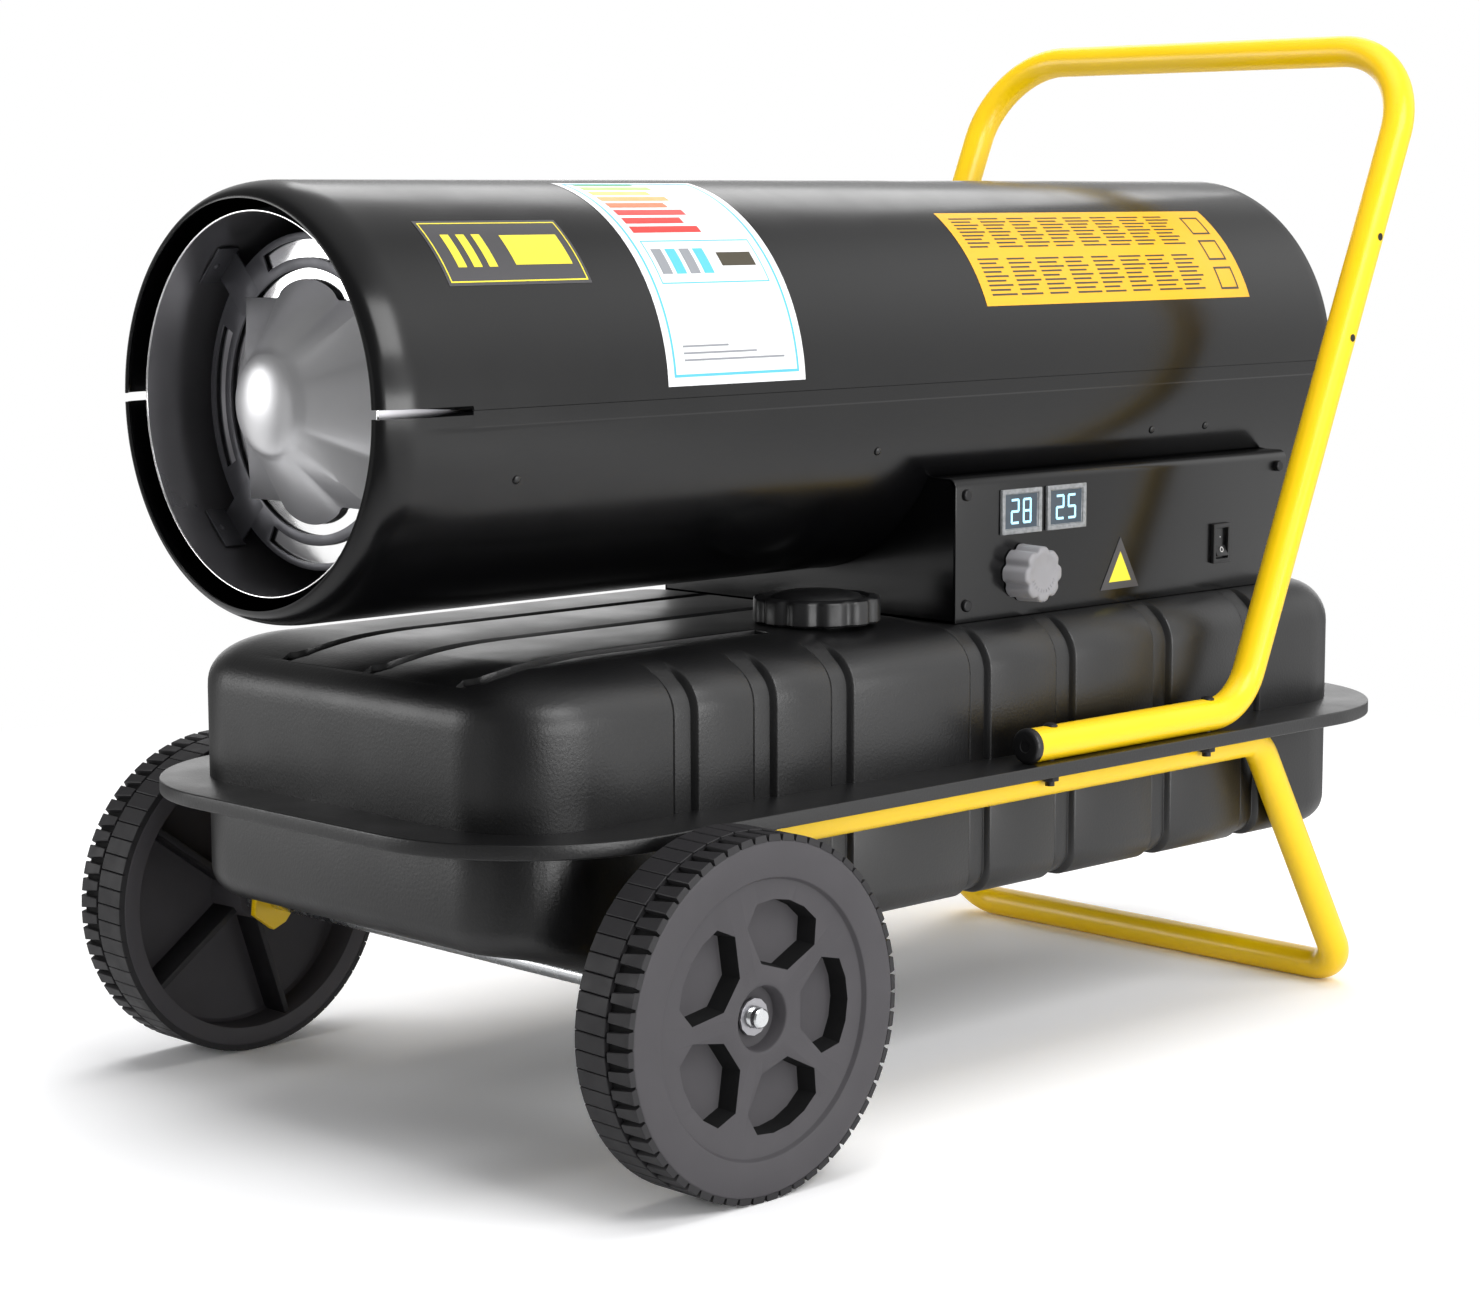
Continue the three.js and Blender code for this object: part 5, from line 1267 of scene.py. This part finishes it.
def addSwitch():
    r = rocker
    cx, cz = r["centre"]
    w, h = r["size"][0] / 2, r["size"][1] / 2
    face = -box["half"]
    bm = bmesh.new()
    rings = []
    for inset, out in ((0, 0), (0, 2.2), (r["frame"] - 0.4, 2.2), (r["frame"], 1.6), (r["frame"], -8)):
        halfX, halfZ = w + r["frame"] + 0.5 - inset, h + r["frame"] + 0.3 - inset
        rings.append(squareLoop(bm, (cx, face - out, cz), halfX, halfZ))
    bridged(bm, rings)
    capped(bm, rings[-1])
    obj = newPiece("switch_frame", bm, ["blackAbs"])
    rounded(obj, 0.5, 2, 40)
    seat(obj, root, ["switch_housing"])

    bm = bmesh.new()
    outline = [(-9.4, 4.4), (-4.8, 2.9), (0, 2.4), (4.8, 2.9), (9.4, 4.4)]
    outline += [(8.6, -3), (3, -7), (-3, -7), (-8.6, -3)]
    flatShape(bm, outline, lambda v, out: (-w, -out, v), (2 * w, 0, 0))
    turn = Matrix.Translation((cx, r["pivotY"], cz)) @ Matrix.Rotation(math.radians(-r["tilt"]), 4, "X")
    posed(bm, turn)
    obj = newPiece("switch_key", bm, ["blackAbs"])
    rounded(obj, 0.45, 2, 40)
    seat(obj, "rocker_body", ["switch_rocker"])

    bm = bmesh.new()
    half, foot, top = r["bar"]
    addBlock(bm, (-half, r["markY"] - 0.02, foot), (half, r["markY"] + 0.15, top))
    inner, outer, z = r["ring"]
    ring = bmesh.ops.create_circle(bm, segments=24, radius=outer)["verts"]
    hole = bmesh.ops.create_circle(bm, segments=24, radius=inner)["verts"]
    edges = list({e for v in ring + hole for e in v.link_edges})
    bmesh.ops.bridge_loops(bm, edges=edges)
    turned(bm, ring + hole, "X", 90)
    shifted(bm, ring + hole, (0, r["markY"], z))
    posed(bm, turn)
    seat(newPiece("switch_marks", bm, ["windowPaint"], weld=0), "rocker_body")


addBox()
addPanelScrews()
addDisplays()
addSign()
addKnob()
addSwitch()
print("control box done")


# pipe frame
pipe = {"radius": 10.65, "sides": 40}
handle = {
    "y": 188,
    "frontX": 294,
    "bendX": 501.8,
    "barX": 689,
    "barZ": 643,
    "lowBend": 42,
    "topBend": 62,
    "boltX": (313, 469),
    "z": 210.45,
    "holeZ": (450.5, 517),
    "hole": 2.6,
}
stand = {
    "railY": 172,
    "railZ": 184.25,
    "frontX": 62,
    "bendX": 543,
    "barX": 646,
    "rearBend": 24,
    "footBend": 24,
    "frontBend": 20,
    "kneeBend": 30,
    "tabY": 190,
    "tabThick": 5,
    "tabHalf": 15,
    "tabTail": 17,
    "tabTip": (0.62, 9),  # how wide the tab's tip is, and how far in it has its full width
    "flatEnd": 22,
    "roundEnd": 46,
    "legKnee": 56,
    "lug": (12, 4, 194.9),  # half width, thickness and top of the lugs under the bolts
    "wheelRadius": 102,
}
bolt = {"head": 4.6, "height": 1.8, "radius": 3, "nut": 5.8, "nutZ": (186.4, 190.6), "tailZ": 183.4}


def route(corners, bends):
    points = [Vector(corners[0])]
    at = [Vector(c) for c in corners]
    for i in range(1, len(at) - 1):
        before = (at[i] - at[i - 1]).normalized()
        after = (at[i + 1] - at[i]).normalized()
        turn = before.angle(after)
        reach = bends[i - 1] * math.tan(turn / 2)
        centre = at[i] + (after - before).normalized() * (bends[i - 1] / math.cos(turn / 2))
        arm = at[i] - before * reach - centre
        pivot = before.cross(after).normalized()
        steps = max(3, round(math.degrees(turn) / 5))
        for k in range(steps + 1):
            points.append(centre + Matrix.Rotation(turn * k / steps, 3, pivot) @ arm)
    return points + [at[-1]]


def spacedOut(points, reach):
    # extra points along the straight runs
    made = [points[0]]
    for a, b in zip(points, points[1:]):
        count = max(1, int((b - a).length // reach))
        made += [a.lerp(b, (k + 1) / count) for k in range(count)]
    return made


def pipeMesh(points, radius, sides):
    # a ring at the start, extruded from point to point and turned square to the way ahead
    bm = bmesh.new()
    ways = [(b - a).normalized() for a, b in zip(points, points[1:])]
    tangents = [ways[0]] + [(a + b).normalized() for a, b in zip(ways, ways[1:])] + [ways[-1]]
    turn = Vector((0, 0, 1)).rotation_difference(tangents[0])
    start = Matrix.Translation(points[0]) @ turn.to_matrix().to_4x4()
    made = bmesh.ops.create_circle(bm, segments=sides, radius=radius, cap_ends=True, matrix=start)
    face = next(iter(made["verts"][0].link_faces))
    for k in range(1, len(points)):
        grown = bmesh.ops.extrude_face_region(bm, geom=[face], use_keep_orig=k == 1)
        face = next(g for g in grown["geom"] if isinstance(g, bmesh.types.BMFace))
        ring = list(face.verts)
        shifted(bm, ring, points[k] - points[k - 1])
        step = tangents[k - 1].rotation_difference(tangents[k])
        bmesh.ops.rotate(bm, cent=points[k], matrix=step.to_matrix(), verts=ring)
    return bm


def addHandle():
    h = handle
    corners = [(h["frontX"], h["z"]), (h["bendX"], h["z"]), (h["barX"], h["barZ"])]
    corners = [(x, -h["y"], z) for x, z in corners] + [(x, h["y"], z) for x, z in reversed(corners)]
    bends = [h["lowBend"], h["topBend"], h["topBend"], h["lowBend"]]
    bm = pipeMesh(route(corners, bends), pipe["radius"], pipe["sides"])
    seat(newPiece("handle_pipe", bm, ["yellowPowderCoat"], sharp=50), root, ["handle"])

    for name, side in (("left", -1), ("right", 1)):
        bm = bmesh.new()
        r, x = pipe["radius"], h["frontX"]
        outline = [(x - 0.1, 0), (x - 0.1, r + 0.2), (x + 0.2, r + 0.45), (x - 2.4, r + 0.45)]
        outline += arc(x - 2.4, r - 2.1, 2.6, 2.55, 90, 180, 6)[1:]
        outline += [(x - 5, 4), (x - 4.6, 3.4), (x - 4.6, 0)]
        spunWire(bm, outline, "x", (0, side * h["y"], h["z"]), 48, closed=False)
        obj = newPiece("handle_end_cap_" + name, bm, ["blackAbs"])
        seat(obj, root, ["handle_cap_" + name])

    # small drilled holes in the uprights, drawn as flat dark discs on the pipe: painted shade where the
    # holes are
    bm = bmesh.new()
    lean = (h["barX"] - h["bendX"]) / (h["barZ"] - h["z"])
    for z in h["holeZ"]:
        x = h["bendX"] + lean * (z - h["z"])
        for side in (-1, 1):
            made = bmesh.ops.create_circle(bm, segments=20, radius=h["hole"], cap_ends=True)["verts"]
            turned(bm, made, "X", 90)
            shifted(bm, made, (x, side * (h["y"] + pipe["radius"] + 0.05), z))
    seat(newPiece("handle_holes", bm, ["nitrileRubberAndHoleShade"], outward=False), root)


def addStand():
    s = stand
    run = Vector((s["frontX"], 0, s["railZ"] - s["wheelRadius"])).normalized()

    def onLeg(along, side):
        return Vector((0, side * s["tabY"], s["wheelRadius"])) + run * along

    def leg(side):
        return [
            onLeg(-s["tabTail"], side),
            onLeg(s["legKnee"], side),
            Vector((s["frontX"], side * s["railY"], s["railZ"])),
            Vector((s["bendX"], side * s["railY"], s["railZ"])),
            Vector((s["barX"], side * s["railY"], pipe["radius"])),
        ]

    corners = leg(-1) + leg(1)[::-1]
    bends = [s["kneeBend"], s["frontBend"], s["rearBend"], s["footBend"]]
    points = route(corners, bends + bends[::-1])
    ends = spacedOut(points[:2], 4)
    points = ends + points[2:-2] + [Vector((p.x, -p.y, p.z)) for p in reversed(ends)]
    bm = pipeMesh(points, pipe["radius"], pipe["sides"])
    across = Vector((-run.z, 0, run.x))
    hub = Vector((0, 0, s["wheelRadius"]))
    tip, tipReach = s["tabTip"]
    for v in bm.verts:
        flat = v.co - hub
        along = flat.dot(run)
        if v.co.x > s["frontX"] or along > s["roundEnd"]:
            continue
        pressed = ramped(s["roundEnd"] - along, 0, s["roundEnd"] - s["flatEnd"])
        side = math.copysign(1, v.co.y)
        off = v.co.y - side * s["tabY"]
        wide = flat.dot(across)
        half = s["tabThick"] / 2
        squeezed = max(-half, min(half, off * 0.9))
        tail = min(1, tip + (1 - tip) * (along + s["tabTail"]) / tipReach)
        v.co.y = side * s["tabY"] + off * (1 - pressed) + squeezed * pressed
        v.co += across * (wide * (s["tabHalf"] / pipe["radius"] * tail - 1) * pressed)
    half, thick, top = s["lug"]
    for x in handle["boltX"]:
        for side in (-1, 1):
            ys = sorted((side * (s["railY"] + 2), side * (handle["y"] + 8.5)))
            addBlock(bm, (x - half, ys[0], top - thick), (x + half, ys[1], top))
    obj = newPiece("stand_pipe", bm, ["yellowPowderCoat"], sharp=50, weld=0)
    seat(obj, root, ["stand"])


def addBolts():
    number = 0
    for x in handle["boltX"]:
        for side in (-1, 1):
            number += 1
            bm = bmesh.new()
            top = handle["z"] + pipe["radius"]
            foot, r = top - 0.5, bolt["radius"]
            outline = [(bolt["tailZ"], 0), (bolt["tailZ"], r), (foot, r), (foot, bolt["head"])]
            outline += arc(foot, 0, bolt["height"] + 0.5, bolt["head"], 90, 0, 8)[1:]
            spunWire(bm, outline, "z", (x, side * handle["y"], 0), 32, closed=False)
            obj = newPiece("bolt_%d" % number, bm, ["blackZinc"])
            seat(obj, root, ["frame_bolt_%d" % number])

            bm = bmesh.new()
            low, high = bolt["nutZ"]
            r, tall = bolt["nut"], high - low
            made = bmesh.ops.create_cone(bm, segments=6, radius1=r, radius2=r, depth=tall, cap_ends=True)
            made = made["verts"]
            turned(bm, made, "Z", 30)
            shifted(bm, made, (x, side * handle["y"], (low + high) / 2))
            obj = newPiece("nut_%d" % number, bm, ["blackZinc"])
            rounded(obj, 0.5, 2, 50)
            seat(obj, root, ["frame_nut_%d" % number])


addHandle()
addStand()
addBolts()
print("pipe frame done")


# wheels and axle
wheel = {
    "radius": 102,
    "track": 256,
    "width": 43,
    "rim": 87,
    "face": (78, 3.4),  # radius and depth of the recessed face
    "web": 15,
    "hub": 16,
    "hubReach": 6,
    "bore": 6.4,
    "recess": (18, 13),
    # half a pocket's outline from its middle, as shares of the wheel's radius and degrees
    "pocket": ((0.65, 0), (0.645, 11), (0.63, 22), (0.52, 31), (0.3, 20)),
    "pockets": 5,
    "pocketDepth": 12.5,
    "pocketDraft": 0.07,
    "pocketTurn": 180,
    "pocketSpan": (22, 72),  # radii between which a steep face is a pocket's wall, and gets the painted shade
    "lugs": 60,
    "lugDepth": 3.0,
    # for each row its span over the width, its half widths in pitches, and how far it leans
    "rows": (((0.4, 24.08), (0.465, 0.465), 0.6), ((25.8, 42.6), (0.25, 0.38), -1.0)),
}


def wheelBody():
    w = wheel
    bm = bmesh.new()
    core = w["radius"] - w["lugDepth"]
    faceRadius, faceDepth = w["face"]
    faceY = w["width"] - faceDepth
    webY = faceY - w["web"]
    hole, holeDepth = w["recess"]
    recessY = w["width"] - holeDepth
    outline = [(0, w["rim"]), (0, core - 2)] + arc(2, core - 2, 2, 2, 180, 90, 4)[1:]
    outline += arc(w["width"] - 2, core - 2, 2, 2, 90, 0, 4)
    outline += [(w["width"], faceRadius + 1), (w["width"] - 0.4, faceRadius + 0.2)]
    outline += [(faceY + 0.3, faceRadius - 1), (faceY, faceRadius - 1.6)]
    outline += [(faceY, hole + 2.2), (faceY - 0.4, hole + 0.6), (faceY - 1.4, hole)]
    outline += [(recessY, hole - 1), (recessY, w["bore"]), (-w["hubReach"], w["bore"])]
    outline += [(-w["hubReach"], w["hub"] - 1), (webY, w["hub"]), (webY, w["rim"] - 2), (webY - 2, w["rim"])]
    spunWire(bm, outline, "y", (0, 0, 0), 160)
    return bm, faceY, webY


def pocketCutter(faceY):
    # drawn in a little towards the pocket's floor
    w = wheel
    bm = bmesh.new()
    outline = [(share, -swing) for share, swing in w["pocket"][:0:-1]] + list(w["pocket"])
    for i in range(w["pockets"]):
        turn = math.radians(360 * i / w["pockets"] + w["pocketTurn"])
        centre = Vector((0.5 * w["radius"] * math.cos(turn), 0, 0.5 * w["radius"] * math.sin(turn)))
        loops = []
        for draft, y in ((w["pocketDraft"], faceY - w["pocketDepth"]), (0, faceY + 1)):
            places = []
            for share, swing in outline:
                a, r = turn + math.radians(swing), share * w["radius"]
                x, z = r * math.cos(a), r * math.sin(a)
                places.append((x + (centre.x - x) * draft, y, z + (centre.z - z) * draft))
            loops.append(closedLoop(bm, places))
        bridged(bm, loops)
        capped(bm, *loops)
    bmesh.ops.recalc_face_normals(bm, faces=bm.faces)
    return bm


def oneLug(row):
    # one block, drawn at the top of the wheel: the inner row is a band with thin cuts,
    # and the outer one has pads that widen to the face
    w = wheel
    bm = bmesh.new()
    pitch = 2 * math.pi * w["radius"] / w["lugs"]
    (low, high), (wideLow, wideHigh), lean = w["rows"][row]
    core = w["radius"] - w["lugDepth"] - 0.8
    outline = [
        (-pitch * wideLow, low),
        (pitch * wideLow, low),
        (pitch * wideHigh + lean, high),
        (-pitch * wideHigh + lean, high),
    ]
    ways = ((-1, -1), (1, -1), (1, 1), (-1, 1))
    loops = []
    for grow, z in ((0.5, core), (0.0, w["radius"] - 0.35), (-0.45, w["radius"])):
        places = []
        for (u, v), (alongU, alongV) in zip(outline, ways):
            reach = math.cos(u / w["radius"])
            places.append((u + alongU * grow, v + alongV * grow * 0.6, z * reach))
        loops.append(closedLoop(bm, places))
    bridged(bm, loops)
    capped(bm, loops[-1])
    return bm


def joinMesh(bm, other, matrix):
    mesh = bpy.data.meshes.new("part")
    other.to_mesh(mesh)
    mesh.transform(matrix)
    bm.from_mesh(mesh)
    bpy.data.meshes.remove(mesh)


def addWheel(name, side):
    w = wheel
    base, faceY, webY = wheelBody()
    inner = w["track"] - w["width"]
    turn = Matrix.Identity(4) if side > 0 else Matrix.Rotation(math.pi, 4, "Z")
    pose = Matrix.Translation((0, side * inner, w["radius"])) @ turn
    posed(base, pose)
    # the second finish is the painted shade that the recesses get below
    obj = newPiece("wheel_%s_moulding" % name, base, ["mouldedWheel", "mouldedPaintedShade"])

    pockets = pocketCutter(faceY)
    posed(pockets, pose)
    cutter = newPiece("pocketCutter", pockets, ["mouldedWheel"])
    addModifier(obj, "BOOLEAN", object=cutter, operation="DIFFERENCE", solver="EXACT")
    settle(obj, 32)
    bpy.data.objects.remove(cutter)
    # walls of the pockets and the ground between the lugs get the second finish, a painted shade
    nearest, farthest = w["pocketSpan"]
    for face in obj.data.polygons:
        far = math.hypot(face.center.x - axleX, face.center.z - w["radius"] / 1000) * 1000
        inPocket = nearest < far < farthest
        if abs(face.normal.y) < 0.6 and (inPocket or far > w["radius"] - w["lugDepth"] - 1):
            face.material_index = 1
    rounded(obj, 0.8, 2, 38, 38)

    ribs = bmesh.new()
    for i in range(w["pockets"]):
        angle = 360 * i / w["pockets"] + w["pocketTurn"] + 180 / w["pockets"]
        verts = addBlock(ribs, (w["hub"] - 1, 3, -2), (w["rim"] + 2, webY + 1, 2))
        turned(ribs, verts, "Y", -angle)
    posed(ribs, pose)
    ribsPiece = newPiece("wheel_%s_ribs" % name, ribs, ["mouldedTread"])
    rounded(ribsPiece, 0.5, 2, 50)

    tread = bmesh.new()
    for row in (0, 1):
        lug = oneLug(row)
        for i in range(w["lugs"]):
            angle = 2 * math.pi * (i + row * 0.5) / w["lugs"]
            joinMesh(tread, lug, Matrix.Rotation(angle, 4, "Y"))
        lug.free()
    posed(tread, pose)
    treadPiece = newPiece("wheel_%s_tread" % name, tread, ["mouldedTread"], sharp=25, weld=0)

    body = "wheel_%s_body" % name
    seat(obj, body, ["wheel_" + name])
    seat(ribsPiece, body)
    seat(treadPiece, body)


axle = {"radius": 6, "end": 252, "thread": 26, "pitch": 1.75, "depth": 0.9}


def addAxle():
    a = axle
    bm = bmesh.new()
    threadStart = a["end"] - a["thread"]
    outline = [(0, a["radius"]), (threadStart, a["radius"])]
    turns = int((a["thread"] - 2) / a["pitch"])
    for i in range(turns):
        u = threadStart + i * a["pitch"]
        outline += [(u + a["pitch"] * 0.5, a["radius"] - a["depth"]), (u + a["pitch"], a["radius"])]
    outline += [(a["end"] - 0.8, a["radius"] - 0.4), (a["end"], a["radius"] - 1.2), (a["end"], 0)]
    for side in (-1, 1):
        spunWire(bm, [(side * u, r) for u, r in outline], "y", (0, 0, wheel["radius"]), 32, closed=False)
    seat(newPiece("axle_rod", bm, ["zincPlate"], sharp=25), root, ["axle"])


addWheel("left", -1)
addWheel("right", 1)
addAxle()
print("wheels done")


# stickers on the barrel
stickers = {
    "dark": {"x": (-91, 12), "angle": (32.2, 54.4)},
    "white": {"x": (52.5, 163), "angle": (3.1, 79)},
    "gold": {"x": (333.5, 602), "angle": (21.4, 56)},
}
sliceStep = 3  # a sheet is cut this often before it bends round the barrel


def stickerSize(spec):
    width = spec["x"][1] - spec["x"][0]
    height = math.radians(spec["angle"][1] - spec["angle"][0]) * shell["radius"]
    return width, height


def wrapShapes(name, spec, shapes):
    # shapes are outlines with a finish and a lift; each is drawn flat, sliced and then wrapped
    bm = bmesh.new()
    mats = []
    for points, mat, lift in shapes:
        if mat not in mats:
            mats.append(mat)
        before = set(bm.faces)
        face = bm.faces.new([bm.verts.new((u, v, lift)) for u, v in points])
        geom = [face, *face.edges, *face.verts]
        low, high = min(v for u, v in points), max(v for u, v in points)
        v = low + sliceStep
        while v < high:
            made = bmesh.ops.bisect_plane(bm, geom=geom, dist=1e-4, plane_co=(0, v, 0), plane_no=(0, 1, 0))
            geom = made["geom"]
            v += sliceStep
        for f in set(bm.faces) - before:
            f.material_index = mats.index(mat)
    for vert in bm.verts:
        u, v, lift = vert.co
        angle = spec["angle"][0] + math.degrees(v / shell["radius"])
        vert.co = onBarrel(spec["x"][0] + u, angle, lift)
    bm.normal_update()
    middle = Vector(barrelCentre)
    inwards = [f for f in bm.faces if (f.calc_center_median() - middle).yz.dot(f.normal.yz) < 0]
    bmesh.ops.reverse_faces(bm, faces=inwards)
    seat(newPiece(name, bm, mats, sharp=60, weld=0, outward=False), root)


def panel(u0, v0, u1, v1):
    return [(u0, v0), (u1, v0), (u1, v1), (u0, v1)]


def border(u0, v0, u1, v1, stroke):
    return [
        panel(u0, v0, u1, v0 + stroke),
        panel(u0, v1 - stroke, u1, v1),
        panel(u0, v0 + stroke, u0 + stroke, v1 - stroke),
        panel(u1 - stroke, v0 + stroke, u1, v1 - stroke),
    ]


def addStickers():
    base, ink = 0.18, 0.3
    spec = stickers["dark"]
    w, h = stickerSize(spec)
    shapes = [(panel(0, 0, w, h), "vinylDark", base)]
    shapes += [(p, "vinylYellow", ink) for p in border(2, 2, w - 2, h - 2, 0.9)]
    for i in range(3):
        u = 12 + i * 11
        shapes.append((panel(u, 12, u + 6, h - 12), "vinylYellow", ink))
    shapes.append((panel(w * 0.52, 13, w - 8, h - 13), "vinylYellow", ink))
    wrapShapes("dark_sticker", spec, shapes)

    spec = stickers["white"]
    w, h = stickerSize(spec)
    shapes = [(panel(0, 0, w, h), "vinylWhite", base)]
    shapes += [(p, "vinylCyan", ink) for p in border(5, 5, w - 5, h - 3, 1.6)]
    colours = ["Red", "Red", "Red", "Coral", "Orange", "Lemon", "Lime", "Green"]
    for i, colour in enumerate(colours):
        v = h * 0.6 + i * 8.2
        shapes.append((panel(12, v, 66 - (i % 2) * 8, v + 5.6), "vinyl" + colour, ink))
    shapes += [(p, "vinylCyan", ink) for p in border(12, h * 0.37, w - 12, h * 0.56, 0.9)]
    for i in range(4):
        u = 16 + i * 11
        mat = "vinylCyan" if i % 2 else "vinylGrey"
        shapes.append((panel(u, h * 0.41, u + 8, h * 0.52), mat, ink))
    shapes.append((panel(66, h * 0.44, w - 17, h * 0.5), "vinylInk", ink))
    for i in range(3):
        shapes.append((panel(14, 14 + i * 4, w - 16 - i * 22, 15.2 + i * 4), "vinylGrey", ink))
    wrapShapes("white_sticker", spec, shapes)

    spec = stickers["gold"]
    w, h = stickerSize(spec)
    shapes = [(panel(0, 0, w, h), "vinylGold", base)]
    for column in range(8):
        for row in range(2):
            u, v = 8 + column * (w - 46) / 8, 5 + row * (h - 4) / 2
            for line in range(9):
                length = 24 - (column * 3 + line * 5 + row * 7) % 9
                foot = v + 1.8 + line * 3.2
                shapes.append((panel(u, foot, u + length, foot + 1.3), "vinylInk", ink))
    for i in range(3):
        v = 6 + i * (h - 8) / 3
        shapes += [(p, "vinylInk", ink) for p in border(w - 28, v, w - 9, v + 17, 1.6)]
    wrapShapes("gold_sticker", spec, shapes)


addStickers()
print("stickers done")


# finishes of the nodes that stay
kept = {
    "pressedSteel": ["burner_head", "air_pump", "fan_shaft"],
    "heatCoat": ["motor", "motor_bracket", "chamber_bracket", "retaining_clip_left", "retaining_clip_right"],
    "zincPlate": [
        "axle_spacer_left", "axle_spacer_right", "filler_strainer", "nozzle_plate", "thermostat_shaft",
    ],
    "copperPipe": ["fuel_nozzle", "fuel_line"],
    "nitrileRubberAndHoleShade": ["cap_seal", "air_line"],
    "glazedCeramic": ["ignition_electrode"],
    "boardLacquer": ["control_board"],
    "satinPowderCoat": ["fan"],
    "blackAbs": ["thermostat_body", "ignition_transformer", "cable_gland", "flame_sensor"],
}
for mat, nodes in kept.items():
    for node in nodes:
        obj = frame["nodes"][node]
        if not obj.data.materials:
            obj.data.materials.append(finishes[mat])
        for i in range(len(obj.material_slots)):
            obj.material_slots[i].material = finishes[mat]
print("kept nodes finished")
